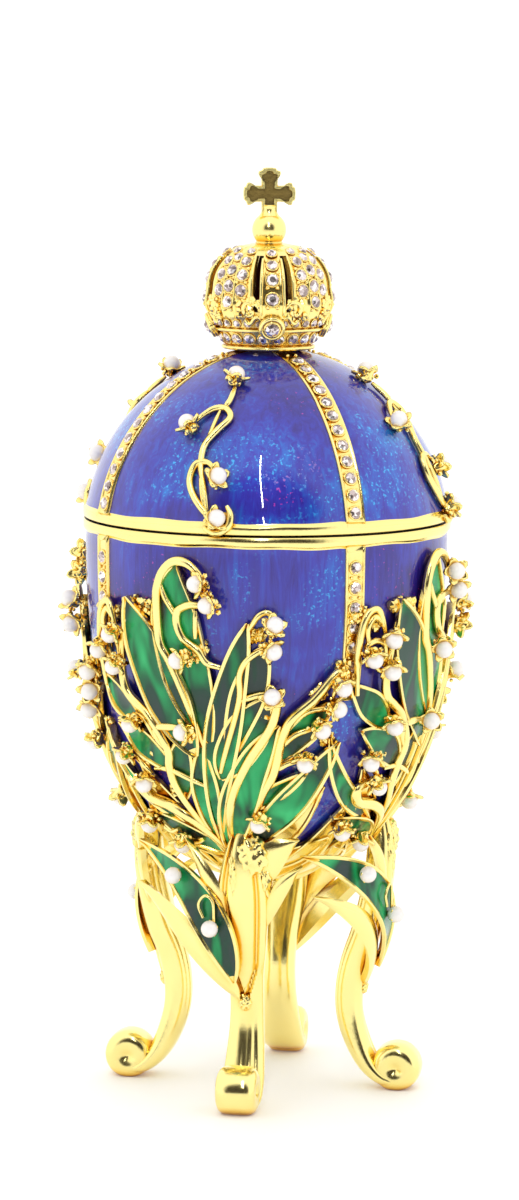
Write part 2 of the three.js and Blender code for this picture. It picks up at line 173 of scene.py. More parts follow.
class Graph:
    """A node tree, shader or geometry, filled by one method."""

    def __init__(self, tree):
        self.tree = tree

    def node(self, kind, settings, values, out=0):
        """Add a node: its settings first, then the values or links of its inputs."""
        made = self.tree.nodes.new(kind)
        for key, value in settings.items():
            if key == "stops":
                self._set_stops(made.color_ramp.elements, value)
            else:
                setattr(made, key, value)
        for key, value in values.items():
            if isinstance(value, Socket):
                self.tree.links.new(value.socket, made.inputs[key])
            else:
                made.inputs[key].default_value = value
        return Socket(self, made.outputs[out])

    @staticmethod
    def _set_stops(elements, stops):
        while len(elements) < len(stops):
            elements.new(1.0)
        for element, (place, colour) in zip(elements, stops):
            element.position = place
            element.color = (*colour, 1.0)

    def mix(self, share, first, second):
        """A colour between two others."""
        first, second = [(*c, 1.0) if isinstance(c, tuple) else c for c in (first, second)]
        values = {0: share, 6: first, 7: second}
        return self.node("ShaderNodeMix", {"data_type": "RGBA"}, values, out=2)

    def join(self, *parts):
        """Several shapes as one."""
        made = self.tree.nodes.new("GeometryNodeJoinGeometry")
        for part in parts:
            self.tree.links.new(part.socket, made.inputs[0])
        return Socket(self, made.outputs[0])

    def bump(self, strength, depth, height):
        """A bumped normal, the depth in millimetres."""
        values = {"Strength": strength, "Distance": depth * MM, "Height": height}
        return self.node("ShaderNodeBump", {}, values)

    def ramp(self, share, *stops):
        return self.node("ShaderNodeValToRGB", {"stops": stops}, {"Fac": share})

    def noise(self, where, scale, detail=3.0, roughness=0.5, distortion=0.0):
        values = {"Vector": where, "Scale": scale, "Detail": detail,
                  "Roughness": roughness, "Distortion": distortion}
        return self.node("ShaderNodeTexNoise", {}, values)

    def stretched(self, where, turn, stretch):
        """Coordinates turned, in degrees, and stretched along each axis."""
        angles = tuple(math.radians(a) for a in turn)
        values = {"Vector": where, "Rotation": angles, "Scale": stretch}
        return self.node("ShaderNodeMapping", {}, values)


def new_finish(name):
    """An empty material: its graph, its Principled shader and its object coordinates."""
    material = bpy.data.materials.new(name)
    material.use_nodes = True
    graph = Graph(material.node_tree)
    shader = material.node_tree.nodes["Principled BSDF"]
    where = graph.node("ShaderNodeTexCoord", {}, {}, out=3)
    return material, graph, shader, where


def feed(graph, shader, values):
    """Set or link a shader's inputs by name."""
    for key, value in values.items():
        if isinstance(value, Socket):
            graph.tree.links.new(value.socket, shader.inputs[key])
        elif isinstance(value, tuple):
            shader.inputs[key].default_value = (*value, 1.0)
        else:
            shader.inputs[key].default_value = value


# How far round a place on the gold is looked at to tell a hollow from a ridge, for its painted
# shade and painted highlight.
PAINTED_SHADE_REACH = 1.5


def gold_finish(name, crease, flat, painted_highlight, rough):
    """Gold plate with painted light: a pale painted highlight where it stands open, orange painted
    shade in its hollows, and a tone a little uneven as cast.
    """
    material, graph, shader, where = new_finish(name)
    reach = {"Distance": PAINTED_SHADE_REACH * MM}
    painted_light_mask = graph.node("ShaderNodeAmbientOcclusion", {"samples": 4}, reach, out=1)
    # Painted shade towards the hollows, painted highlight where the gold stands open.
    tone = graph.ramp(painted_light_mask, (0.1, crease), (0.5, flat), (0.92, painted_highlight))
    cloud = graph.noise(where, 240.0)
    colour = graph.mix(cloud * 0.3, tone, flat)
    bump = graph.bump(0.14, 0.12, graph.noise(where, 1100.0))
    feed(graph, shader, {"Base Color": colour, "Metallic": 1.0,
                         "Roughness": cloud * 0.14 + rough, "Normal": bump})
    return material


# Where azure and pink glints are painted on the lid's front panel as painted reflections, and how
# far they reach, in metres.
PAINTED_AZURE_GLINTS = ((0.0034, -0.0224, 0.0912), (-0.0065, -0.0223, 0.0900))
PAINTED_PINK_GLINT = (0.0068, -0.0221, 0.0902)
PAINTED_GLINT_REACH = 0.0075
AZURE = (0.04, 0.5, 0.95)
PINK = (0.75, 0.05, 0.45)


def blue_enamel_finish():
    """Clear blue enamel over brushed metal: blue and violet strokes, azure and pink flecks, and
    painted azure and pink glints on the lid's front panel.
    """
    material, graph, shader, where = new_finish("blue enamel")
    brushed = graph.stretched(where, (0, 24, 0), (900.0, 900.0, 110.0))
    strokes = graph.noise(brushed, 1.0, 5.0, 0.65, 0.8)
    pools = graph.noise(where, 62.0, 3.0, 0.55, 0.5)
    near = []
    # Nearness to each painted glint: the azure ones raise the pools and their azure flecks, and the
    # pink one lowers them and adds pink flecks.
    for spot in (*PAINTED_AZURE_GLINTS, PAINTED_PINK_GLINT):
        ends = {0: where, 1: spot}
        away = graph.node("ShaderNodeVectorMath", {"operation": "DISTANCE"}, ends, out=1)
        near.append((1.7 - away * (1.7 / PAINTED_GLINT_REACH)).clamped())
    pools = pools + near[0] * 0.2 + near[1] * 0.13 - near[2] * 0.06
    blend = strokes * 0.42 + pools * 0.58
    tone = graph.ramp(
        blend,
        (0.3, (0.016, 0.006, 0.13)), (0.43, (0.028, 0.014, 0.27)),
        (0.52, (0.032, 0.03, 0.42)), (0.6, (0.022, 0.085, 0.52)), (0.7, (0.012, 0.24, 0.72)),
    )
    grain = graph.noise(where, 2100.0, 2.0)
    azure = ((grain - 0.58) * 9.0).clamped() * ((pools - 0.53) * 9.0).clamped()
    colour = graph.mix(azure * 0.85, tone, AZURE)
    flecks = ((grain - 0.66 + near[2] * 0.05) * 12.0).clamped()
    pink = flecks * ((0.45 - pools) * 12.0 + near[2] * 2.0).clamped()
    colour = graph.mix(pink * 0.9, colour, PINK)
    feed(graph, shader, {"Base Color": colour, "Metallic": 0.35, "Roughness": 0.42,
                         "Normal": graph.bump(0.3, 0.1, strokes), "Specular IOR Level": 0.25,
                         "Coat Weight": 1.0, "Coat Roughness": 0.015, "Coat IOR": 1.55})
    return material


def green_enamel_finish():
    """Clear green enamel: emerald where it is thin, slate-green where it pools."""
    material, graph, shader, where = new_finish("green enamel")
    drawn_out = graph.stretched(where, (0, 20, 0), (210.0, 210.0, 80.0))
    pools = graph.noise(drawn_out, 1.0, 2.0, 0.5, 0.7)
    tone = graph.ramp(
        pools,
        (0.36, (0.02, 0.045, 0.038)), (0.44, (0.003, 0.055, 0.026)),
        (0.5, (0.001, 0.15, 0.045)), (0.58, (0.002, 0.32, 0.09)), (0.7, (0.03, 0.56, 0.18)),
    )
    feed(graph, shader, {"Base Color": tone, "Roughness": 0.35,
                         "Normal": graph.bump(0.35, 0.14, pools), "Specular IOR Level": 0.2,
                         "Coat Weight": 0.9, "Coat Roughness": 0.03, "Coat IOR": 1.38})
    return material


def pearl_finish():
    """Imitation pearl: warm white with a soft bloom, and painted shade, greyer and warm, towards
    its edge as seen.
    """
    material, graph, shader, where = new_finish("pearl")
    # Painted shade: the edge as seen from the camera is darkened to a warm tan.
    edge = graph.node("ShaderNodeLayerWeight", {}, {"Blend": 0.35}, out=1)
    tone = graph.mix(edge, (1.0, 0.98, 0.96), (0.85, 0.7, 0.58))
    tone = graph.mix(graph.noise(where, 500.0) * 0.2, tone, (1.0, 0.94, 0.9))
    feed(graph, shader, {"Base Color": tone, "Roughness": 0.3,
                         "Coat Weight": 0.8, "Coat Roughness": 0.06})
    return material


def crystal_finish():
    """Foil-backed clear stones, slightly pink, with painted reflections: facets from dark to bright
    at random.
    """
    material, graph, shader, where = new_finish("clear stone")
    # Painted reflections: each small cell gets a tone from dark to bright at random.
    cells = graph.node("ShaderNodeTexVoronoi", {}, {"Vector": where, "Scale": 1900.0}, out=1)
    painted_facet_light = graph.node("ShaderNodeSeparateColor", {}, {"Color": cells})
    tone = graph.ramp(
        painted_facet_light,
        (0.0, (0.2, 0.14, 0.13)), (0.35, (0.5, 0.39, 0.36)),
        (0.7, (0.92, 0.82, 0.79)), (1.0, (1.0, 0.97, 0.95)),
    )
    feed(graph, shader, {"Base Color": tone, "Metallic": 0.8, "Roughness": 0.1,
                         "Coat Weight": 1.0, "Coat Roughness": 0.02})
    return material


def maroon_finish():
    """The dark red lacquer inside the crown."""
    material, graph, shader, where = new_finish("dark red lining")
    cloud = graph.noise(where, 400.0)
    tone = graph.mix(cloud, (0.13, 0.022, 0.028), (0.22, 0.045, 0.05))
    feed(graph, shader, {"Base Color": tone, "Roughness": 0.55})
    return material


# Each gold: its painted shade in hollows, its flat tone, its painted highlight where open, and its
# roughness.
GOLD = gold_finish(
    "polished gold", (0.55, 0.22, 0.02), (0.98, 0.68, 0.15), (1.0, 0.88, 0.36), 0.12)
# Painted shade: a dark gold for the joint line and the cross's sunk faces, where only shade falls.
PAINTED_SHADE_GOLD = gold_finish(
    "smoked gold", (0.05, 0.035, 0.015), (0.1, 0.078, 0.04), (0.4, 0.28, 0.08), 0.16)
BLUE = blue_enamel_finish()
GREEN = green_enamel_finish()
PEARL = pearl_finish()
CRYSTAL = crystal_finish()
MAROON = maroon_finish()


class Form:
    """Points and faces gathered for one mesh, each face with the number of its finish."""

    def __init__(self):
        self.points = []
        self.faces = []
        self.slots = []

    def face(self, corners, slot=0):
        self.faces.append(tuple(corners))
        self.slots.append(slot)

    def loft(self, rings, slot_of=lambda ring, place: 0):
        """Join rings of points into one closed skin. One point is a tip; other ends are capped."""
        starts = []
        for ring in rings:
            starts.append(len(self.points))
            self.points.extend(ring)
        for i, (low, high) in enumerate(zip(rings, rings[1:])):
            count = max(len(low), len(high))
            for j in range(count):
                k = (j + 1) % count
                corners = [starts[i] + j % len(low), starts[i] + k % len(low),
                           starts[i + 1] + k % len(high), starts[i + 1] + j % len(high)]
                self.face(dict.fromkeys(corners), slot_of(i, j))
        last = len(rings) - 1
        for end, beside in ((0, 0), (last, last - 1)):
            if len(rings[end]) > 1:
                self.face(range(starts[end], starts[end] + len(rings[end])), slot_of(beside, 0))

    def turned(self, degrees):
        """A copy turned round the egg's axis."""
        copy = Form()
        turn = Matrix.Rotation(math.radians(degrees), 3, "Z")
        copy.points = [turn @ point for point in self.points]
        copy.faces, copy.slots = self.faces, self.slots
        return copy

    def piece(self, name, finishes, crease=35.0):
        """The finished object: normals outwards, smooth but for edges sharper than the crease."""
        mesh = bpy.data.meshes.new(name)
        mesh.from_pydata([point * MM for point in self.points], [], self.faces)
        for finish in finishes:
            mesh.materials.append(finish)
        mesh.polygons.foreach_set("material_index", self.slots)
        skin = bmesh.new()
        skin.from_mesh(mesh)
        bmesh.ops.recalc_face_normals(skin, faces=skin.faces)
        skin.to_mesh(mesh)
        skin.free()
        mesh.shade_smooth()
        mesh.set_sharp_from_angle(angle=math.radians(crease))
        return linked(name, mesh)


def linked(name, mesh):
    made = bpy.data.objects.new(name, mesh)
    bpy.context.scene.collection.objects.link(made)
    return made


def bowl_at(drop):
    """The bowl's outside: radius and height at a share of the way down from the joint."""
    radius = EGG_RADIUS * math.sqrt(max(0.0, 1 - drop ** BOWL_ROUNDNESS))
    return radius, JOINT - drop * BOWL_DEPTH


def lid_at(rise):
    """The lid's outside: radius and height at a share of the way up from the joint."""
    radius = EGG_RADIUS * math.sqrt(max(0.0, 1 - rise ** LID_ROUNDNESS))
    return radius, JOINT + rise * LID_HEIGHT


def around(angle, radius, height):
    """A point at an angle round the egg's axis."""
    a = math.radians(angle)
    return Vector((radius * math.sin(a), -radius * math.cos(a), height))


def leg_point(across, out, up):
    """A point of the front leg, from how far it is across, out and up."""
    return Vector((across, -out, up))


def circle(radius, height):
    """A ring of points round the egg's axis."""
    return [around(360 / CIRCLE_POINTS * j, radius, height) for j in range(CIRCLE_POINTS)]


def both_sides(half):
    """A section from its right half, whose last point is on the middle."""
    return [(-share, lift) for share, lift in half] + list(reversed(half[:-1]))


def on_egg(profile, angle, share, lift):
    """A point lifted square off the egg."""
    radius, height = profile(share)
    low, high = profile(max(0.0, share - 1e-3)), profile(share + 1e-3)
    along = Vector((high[0] - low[0], high[1] - low[1])).normalized()
    sense = 1 if along.y > 0 else -1
    return around(angle, radius + abs(along.y) * lift, height - along.x * sense * lift)


def smooth_run(points, steps=6):
    """A smooth run through points, with a few steps between neighbours."""
    ends = [points[0] * 2 - points[1], *points, points[-1] * 2 - points[-2]]
    run = []
    for a, b, c, d in zip(ends, ends[1:], ends[2:], ends[3:]):
        for i in range(steps):
            t = i / steps
            run.append(0.5 * (2 * b + (c - a) * t + (2 * a - 5 * b + 4 * c - d) * t * t
                              + (3 * b - a - 3 * c + d) * t ** 3))
    return [*run, points[-1]]


def ripple(angle, height):
    """How far the hand-poured enamel stands off its true form."""
    a = math.radians(angle)
    return (0.05 * math.sin(5 * a + 0.11 * height) + 0.04 * math.sin(9 * a - 0.33 * height + 1)
            + 0.035 * math.sin(3 * a + 0.5 * height + 2))


def shell_ring(radius, height, banded, waved):
    """One ring of a shell. It steps over the bands, and lies in slight waves between them."""
    ring = []
    half = math.degrees(math.asin(min(0.6, BAND_WIDTH / 2 / radius)))
    panel = QUARTER - 2 * half
    for i in range(len(SIDES)):
        middle = EGG_TURN + QUARTER * (i + 0.5)
        section = [(-share, lift) for share, lift in BAND_SECTION]
        section += [(share, lift) for share, lift in reversed(BAND_SECTION)]
        for share, lift in section:
            ring.append(around(middle + share * half, radius + banded * lift, height))
        for j in range(1, PANEL_STEPS):
            angle = middle + half + panel * j / PANEL_STEPS
            edge = min(j, PANEL_STEPS - j) * panel / PANEL_STEPS * math.radians(radius)
            pool = POOL_DEPTH * math.exp(-edge / POOL_WIDTH)
            ring.append(around(angle, radius + waved * (ripple(angle, height) + pool), height))
    return ring


def is_band(place):
    """Whether a place on a shell's ring lies on a band."""
    return place % (2 * len(BAND_SECTION) + PANEL_STEPS - 1) < 2 * len(BAND_SECTION) - 1


def egg_shell(name, profile, end_height, side, rows, lip, band_end):
    """A shell of the egg: enamel panels between gold bands, a gold rim, and a gold inside.

    Side is 1 above the joint and -1 below it. The bands end at a share of the way from it.
    """
    shares = [math.sin(math.pi / 2 * (rows - i) / rows) for i in range(rows)]
    shrink = (EGG_RADIUS - WALL) / EGG_RADIUS
    face = JOINT + side * JOINT_GAP / 2
    edge = face + side * RIM_BAND
    rim = EGG_RADIUS + RIM_PROUD
    rings = [[Vector((0, 0, end_height))]]
    plain_rows = 0
    for share in shares[1:]:
        radius, height = profile(share)
        away = abs(height - JOINT)
        if away > RIM_BAND + RIM_MARGIN:
            banded = 1 if share < band_end else 0
            plain_rows += 1 - banded
            rings.append(shell_ring(radius, height, banded, min(1, away / SMOOTH_BY_RIM)))
    enamel_rows = len(rings) - 1
    rim_places = [(EGG_RADIUS, edge + side * 0.25), (EGG_RADIUS + 0.1, edge),
                  (rim - 0.08, edge - side * 0.12), (rim, edge - side * 0.3),
                  (rim, face + side * 0.2), (rim - 0.15, face)]
    for k, (radius, height) in enumerate(rim_places):
        ring = shell_ring(radius, height, 1 if k < 1 else 0, 0)
        # The rim's edge against the enamel is a little uneven, its edge at the joint is true.
        if k < 4:
            for j, point in enumerate(ring):
                point.z += 0.09 * math.sin(j * 0.21 + side) + 0.06 * math.sin(j * 0.57)
        rings.append(ring)
    # The face at the joint and the wall just inside it carry painted shade, a dark gold, so the
    # joint shows as a dark line.
    joint_rows = (len(rings) - 1, len(rings))
    for radius, height in lip:
        rings.append(shell_ring(radius, height, 0, 0))
    for share in reversed(shares[1:]):
        radius, height = profile(share)
        if abs(height - JOINT) > 2 * LIP_HEIGHT:
            inner = JOINT + (height - JOINT) * (1 - WALL / abs(end_height - JOINT))
            rings.append(shell_ring(radius * shrink, inner, 0, 0))
    rings.append([Vector((0, 0, end_height - side * WALL))])

    def slot_of(ring, place):
        if ring in joint_rows:
            return 2
        return 0 if ring <= enamel_rows and (ring <= plain_rows or not is_band(place)) else 1

    form = Form()
    form.loft(rings, slot_of)
    return form.piece(name, [BLUE, GOLD, PAINTED_SHADE_GOLD], 50.0)


def make_shells():
    """The bowl with the lip that centres the lid, and the lid."""
    lid_inner = lid_at(LIP_HEIGHT / LID_HEIGHT)[0] * (EGG_RADIUS - WALL) / EGG_RADIUS
    lip_outer = lid_inner - LIP_CLEARANCE
    lip_inner = lip_outer - LIP_WALL
    low_face = JOINT - JOINT_GAP / 2
    lip_top = JOINT + LIP_HEIGHT
    bevel = 0.2
    bowl_lip = [(lip_outer, low_face), (lip_outer, lip_top - bevel), (lip_outer - bevel, lip_top),
                (lip_inner + bevel, lip_top), (lip_inner, lip_top - bevel),
                (lip_inner, low_face - LIP_HEIGHT)]
    bowl = egg_shell("bowl_shell", bowl_at, JOINT - BOWL_DEPTH, -1, 64, bowl_lip, BAND_END)
    mouth = EGG_RADIUS - WALL
    lid_mouth = [(mouth, JOINT + JOINT_GAP / 2), (mouth, JOINT + LIP_HEIGHT + 0.6)]
    lid = egg_shell("lid_shell", lid_at, JOINT + LID_HEIGHT, 1, 44, lid_mouth, 1.0)
    for shell, node in ((bowl, "bowl"), (lid, "lid")):
        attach(shell, "root")
        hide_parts(node)


def tree_with(name, *sizes):
    """A geometry tree with a named input for each size, the geometry first."""
    tree = bpy.data.node_groups.new(name, "GeometryNodeTree")
    tree.interface.new_socket("Geometry", in_out="INPUT", socket_type="NodeSocketGeometry")
    for size, kind in sizes:
        tree.interface.new_socket(size, in_out="INPUT", socket_type=kind)
    tree.interface.new_socket("Geometry", in_out="OUTPUT", socket_type="NodeSocketGeometry")
    graph = Graph(tree)
    source = tree.nodes.new("NodeGroupInput")
    inputs = {socket.name: Socket(graph, socket) for socket in source.outputs if socket.name}
    return tree, graph, inputs


def finish_tree(tree, graph, geometry, material):
    """End a tree with plain geometry of one finish."""
    realized = graph.node("GeometryNodeRealizeInstances", {}, {"Geometry": geometry})
    values = {"Geometry": realized, "Material": material}
    finished = graph.node("GeometryNodeSetMaterial", {}, values)
    tree.links.new(finished.socket, tree.nodes.new("NodeGroupOutput").inputs[0])
    return tree


def attribute(graph, name, kind):
    return graph.node("GeometryNodeInputNamedAttribute", {"data_type": kind}, {"Name": name})


def setting_tree(name, material, shape_of, smooth):
    """Sets one shape at every point, facing its outward attribute and sized by its size."""
    tree, graph, inputs = tree_with(name, ("Radius", "NodeSocketFloat"))
    values = {"Geometry": shape_of(graph, inputs), "Shade Smooth": smooth}
    shape = graph.node("GeometryNodeSetShadeSmooth", {}, values)
    outward = attribute(graph, "outward", "FLOAT_VECTOR")
    facing = graph.node("FunctionNodeAlignRotationToVector", {"axis": "Z"}, {"Vector": outward})
    spin = attribute(graph, "spin", "FLOAT")
    facing = graph.node("FunctionNodeRotateRotation", {"rotation_space": "LOCAL"}, {
        "Rotation": facing, "Rotate By": graph.node("ShaderNodeCombineXYZ", {}, {"Z": spin}),
    })
    shapes = graph.node("GeometryNodeInstanceOnPoints", {}, {
        "Points": inputs["Geometry"], "Instance": shape, "Rotation": facing,
        "Scale": attribute(graph, "size", "FLOAT"),
    })
    return finish_tree(tree, graph, shapes, material)


def cut_stone(graph, inputs):
    """A stone with a flat table and two belts of facets."""
    radius = inputs["Radius"]
    belt = {"Vertices": 8, "Side Segments": 1, "Fill Segments": 1}
    lower = graph.node("GeometryNodeMeshCone", {}, {
        **belt, "Radius Top": radius * 0.86, "Radius Bottom": radius, "Depth": radius * 0.3,
    })
    upper = graph.node("GeometryNodeMeshCone", {}, {
        **belt, "Radius Top": radius * 0.5, "Radius Bottom": radius * 0.9, "Depth": radius * 0.3,
    })
    lifted = graph.node("GeometryNodeTransform", {}, {
        "Geometry": upper, "Rotation": (0, 0, math.radians(22.5)),
        "Translation": graph.node("ShaderNodeCombineXYZ", {}, {"Z": radius * 0.26}),
    })
    return graph.join(lower, lifted)


def ball(segments, rings):
    """What makes a round shape, as fine as asked."""
    values = {"Segments": segments, "Rings": rings}
    return lambda graph, inputs: graph.node(
        "GeometryNodeMeshUVSphere", {}, {**values, "Radius": inputs["Radius"]})


def rough_crumb(graph, inputs):
    """A lump with flat sides."""
    values = {"Radius": inputs["Radius"], "Subdivisions": 1}
    return graph.node("GeometryNodeMeshIcoSphere", {}, values)


def ring_curve(graph, resolution, radius):
    values = {"Resolution": resolution, "Radius": radius}
    return graph.node("GeometryNodeCurvePrimitiveCircle", {"mode": "RADIUS"}, values)


def stone_collar(graph, inputs):
    """The rim of gold pressed round a stone."""
    radius = inputs["Radius"]
    path = ring_curve(graph, 14, radius)
    bead = ring_curve(graph, 6, radius * 0.17)
    return graph.node("GeometryNodeCurveToMesh", {}, {"Curve": path, "Profile Curve": bead})


def flower_cup(graph, inputs):
    """A flower cup: a bell of five petals whose tips curl out, open along +Z."""
    radius = inputs["Radius"]
    grid = {"Size X": 1.0, "Size Y": 1.0, "Vertices X": 31, "Vertices Y": 8}
    bell = graph.node("GeometryNodeMeshGrid", {}, grid)
    where = graph.node("GeometryNodeInputPosition", {}, {})
    across = graph.node("ShaderNodeSeparateXYZ", {}, {"Vector": where})
    up = graph.node("ShaderNodeSeparateXYZ", {}, {"Vector": where}, out=1) + 0.5
    turn = (across + 0.5) * (2 * math.pi)
    petals = (turn * 5.0).math("COSINE")
    flare = up * 0.55 + up * up * up * 0.45
    reach = radius * (0.34 + flare * (0.62 + petals * 0.24))
    height = radius * (up * 1.05 - 0.75 + up * up * petals * 0.16 - up * up * up * up * 0.25)
    place = graph.node("ShaderNodeCombineXYZ", {}, {
        "X": reach * turn.math("COSINE"), "Y": reach * turn.math("SINE"), "Z": height,
    })
    bell = graph.node("GeometryNodeSetPosition", {}, {"Geometry": bell, "Position": place})
    weld = {"Distance": 0.01 * MM}
    bell = graph.node("GeometryNodeMergeByDistance", {}, {"Geometry": bell, **weld})
    thick = graph.node("GeometryNodeExtrudeMesh", {"mode": "FACES"}, {
        "Mesh": bell, "Offset Scale": radius * -0.2, "Individual": False,
    })
    back = graph.node("GeometryNodeFlipFaces", {}, {"Mesh": bell})
    whole = graph.join(thick, back)
    return graph.node("GeometryNodeMergeByDistance", {}, {"Geometry": whole, **weld})


def wire_tree(name, material):
    """Draws a round wire along every run of edges, as thick as its thickness attribute says."""
    tree, graph, inputs = tree_with(name, ("Sides", "NodeSocketInt"))
    curve = graph.node("GeometryNodeMeshToCurve", {}, {"Mesh": inputs["Geometry"]})
    wire = graph.node("GeometryNodeCurveToMesh", {}, {
        "Curve": curve, "Profile Curve": ring_curve(graph, inputs["Sides"], 1.0),
        "Scale": attribute(graph, "thickness", "FLOAT"), "Fill Caps": True,
    })
    wire = graph.node("GeometryNodeSetShadeSmooth", {}, {"Geometry": wire})
    return finish_tree(tree, graph, wire, material)


STONES = setting_tree("set stones", CRYSTAL, cut_stone, False)
PEARLS = setting_tree("set pearls", PEARL, ball(20, 12), True)
CUPS = setting_tree("set flower cups", GOLD, flower_cup, True)
BEADS = setting_tree("set gold beads", GOLD, ball(8, 5), True)
ROUGH_CRUMBS = setting_tree("set gold crumbs", GOLD, rough_crumb, False)
COLLARS = setting_tree("press stone collars", GOLD, stone_collar, True)
WIRES = wire_tree("draw wires", GOLD)


def grown(base, tree, sizes):
    """The plain mesh that a tree makes of its base. The modifier goes once it has been used."""
    modifier = base.modifiers.new(tree.name, "NODES")
    modifier.node_group = tree
    for item in tree.interface.items_tree:
        if item.in_out == "INPUT" and item.name in sizes:
            modifier[item.identifier] = sizes[item.name]
    view = bpy.context.evaluated_depsgraph_get()
    mesh = bpy.data.meshes.new_from_object(base.evaluated_get(view))
    base.modifiers.remove(modifier)
    base.data = mesh
    return base


def with_values(mesh, name, kind, values):
    """Give each point of a mesh a value, for a tree to read."""
    made = mesh.attributes.new(name, kind, "POINT")
    flat = [part for value in values for part in value] if kind == "FLOAT_VECTOR" else values
    made.data.foreach_set("vector" if kind == "FLOAT_VECTOR" else "value", flat)


def set_out(name, tree, radius, places):
    """Set a tree's shape at places: each is a point, the way it faces, and a size."""
    mesh = bpy.data.meshes.new(name)
    mesh.from_pydata([point * MM for point, _, _ in places], [], [])
    with_values(mesh, "outward", "FLOAT_VECTOR", [outward.normalized() for _, outward, _ in places])
    with_values(mesh, "size", "FLOAT", [size for _, _, size in places])
    with_values(mesh, "spin", "FLOAT", [2.4 * i for i in range(len(places))])
    made = grown(linked(name, mesh), tree, {"Radius": radius * MM})
    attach(made, "root")
    return made


def draw_wires(name, runs):
    """Draw wires: each run is its points, then its radius at the middle and at its ends."""
    points, edges, widths = [], [], []
    for run, middle, end in runs:
        first = len(points)
        count = len(run) - 1
        points.extend(run)
        edges.extend((first + i, first + i + 1) for i in range(count))
        for i in range(count + 1):
            share = min(1, 4 * i / count, 4 * (count - i) / count)
            widths.append(end + (middle - end) * share)
    mesh = bpy.data.meshes.new(name)
    mesh.from_pydata([point * MM for point in points], edges, [])
    with_values(mesh, "thickness", "FLOAT", [width * MM for width in widths])
    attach(grown(linked(name, mesh), WIRES, {"Sides": WIRE_SIDES}), "root")


def spaced(profile, first, spacing, least_radius):
    """Shares along a profile at even steps over its surface, down to a least radius."""
    steps = 2000
    shares, walked, wanted = [], 0.0, first
    last = profile(0)
    for i in range(1, steps):
        here = profile(i / steps)
        walked += math.hypot(here[0] - last[0], here[1] - last[1])
        last = here
        if here[0] < least_radius:
            break
        if walked >= wanted:
            shares.append(i / steps)
            wanted += spacing
    return shares


def make_band_stones():
    """The stones down the bands, each in a collar, with beads of gold between them."""
    places, beads = [], []
    rows = [(lid_at, share) for share in spaced(lid_at, *LID_STONES)]
    rows += [(bowl_at, share) for share in spaced(bowl_at, *BOWL_STONES)[:BOWL_STONE_COUNT]]
    for profile, share in rows:
        for i in range(len(SIDES)):
            angle = EGG_TURN + QUARTER * (i + 0.5)
            low = on_egg(profile, angle, share, STONE_LIFT)
            outward = on_egg(profile, angle, share, 1) - low
            places.append((low, outward, 1.0))
            along = around(angle + QUARTER, 1, 0)
            below = on_egg(profile, angle, share + BEAD_DROP / BOWL_DEPTH, BEAD_LIFT)
            for aside in (-BEAD_ASIDE, BEAD_ASIDE):
                beads.append((below + along * aside, outward, 1.0))
    set_out("band_stones", STONES, STONE_RADIUS, places)
    set_out("band_collars", COLLARS, STONE_RADIUS, places)
    set_out("band_beads", BEADS, BEAD_RADIUS, beads)


def crown_radius(height):
    """The crown's outline: a flared foot ring, a flange, and a bulge that closes to the cap."""
    if height > BULGE_HEIGHT:
        rise = (height - BULGE_HEIGHT) / (CROWN_HEIGHT - BULGE_HEIGHT)
        return CROWN_CAP + (BULGE_RADIUS - CROWN_CAP) * max(0, 1 - rise * rise) ** CROWN_ROUNDNESS
    for (low, near), (high, far) in zip(CROWN_FOOT_OUTLINE, CROWN_FOOT_OUTLINE[1:]):
        if height <= high:
            return near + (far - near) * (height - low) / (high - low)
    return BULGE_RADIUS


def crown_relief(angle, height):
    """How proud the arches and the ribs between the stones stand, at an angle from an arch."""
    if height < RELIEF_LOW or height > RELIEF_HIGH:
        return 0.0
    arch = SLOT_ANGLE - 5.5
    if abs(angle) < SLOT_ANGLE:
        return 0.3 + 0.16 * (abs(angle) > 0.72 * arch)
    rib = min(abs(abs(angle - QUARTER / 2) - place) for place in RIB_ANGLES)
    return 0.1 + 0.28 * math.exp(-(rib / 1.7) ** 2)


def crown_columns(radius):
    """Angles from an arch's middle, over a quarter, with a narrow column at each slot."""
    half = math.degrees(math.asin(min(0.5, SLOT_WIDTH / 2 / radius)))
    low, high = SLOT_ANGLE - half, SLOT_ANGLE + half
    arch = [low * (2 * i / ARCH_COLUMNS - 1) for i in range(ARCH_COLUMNS + 1)]
    panel = [high + (QUARTER - 2 * high) * i / PANEL_COLUMNS for i in range(PANEL_COLUMNS + 1)]
    return [*arch, *panel]


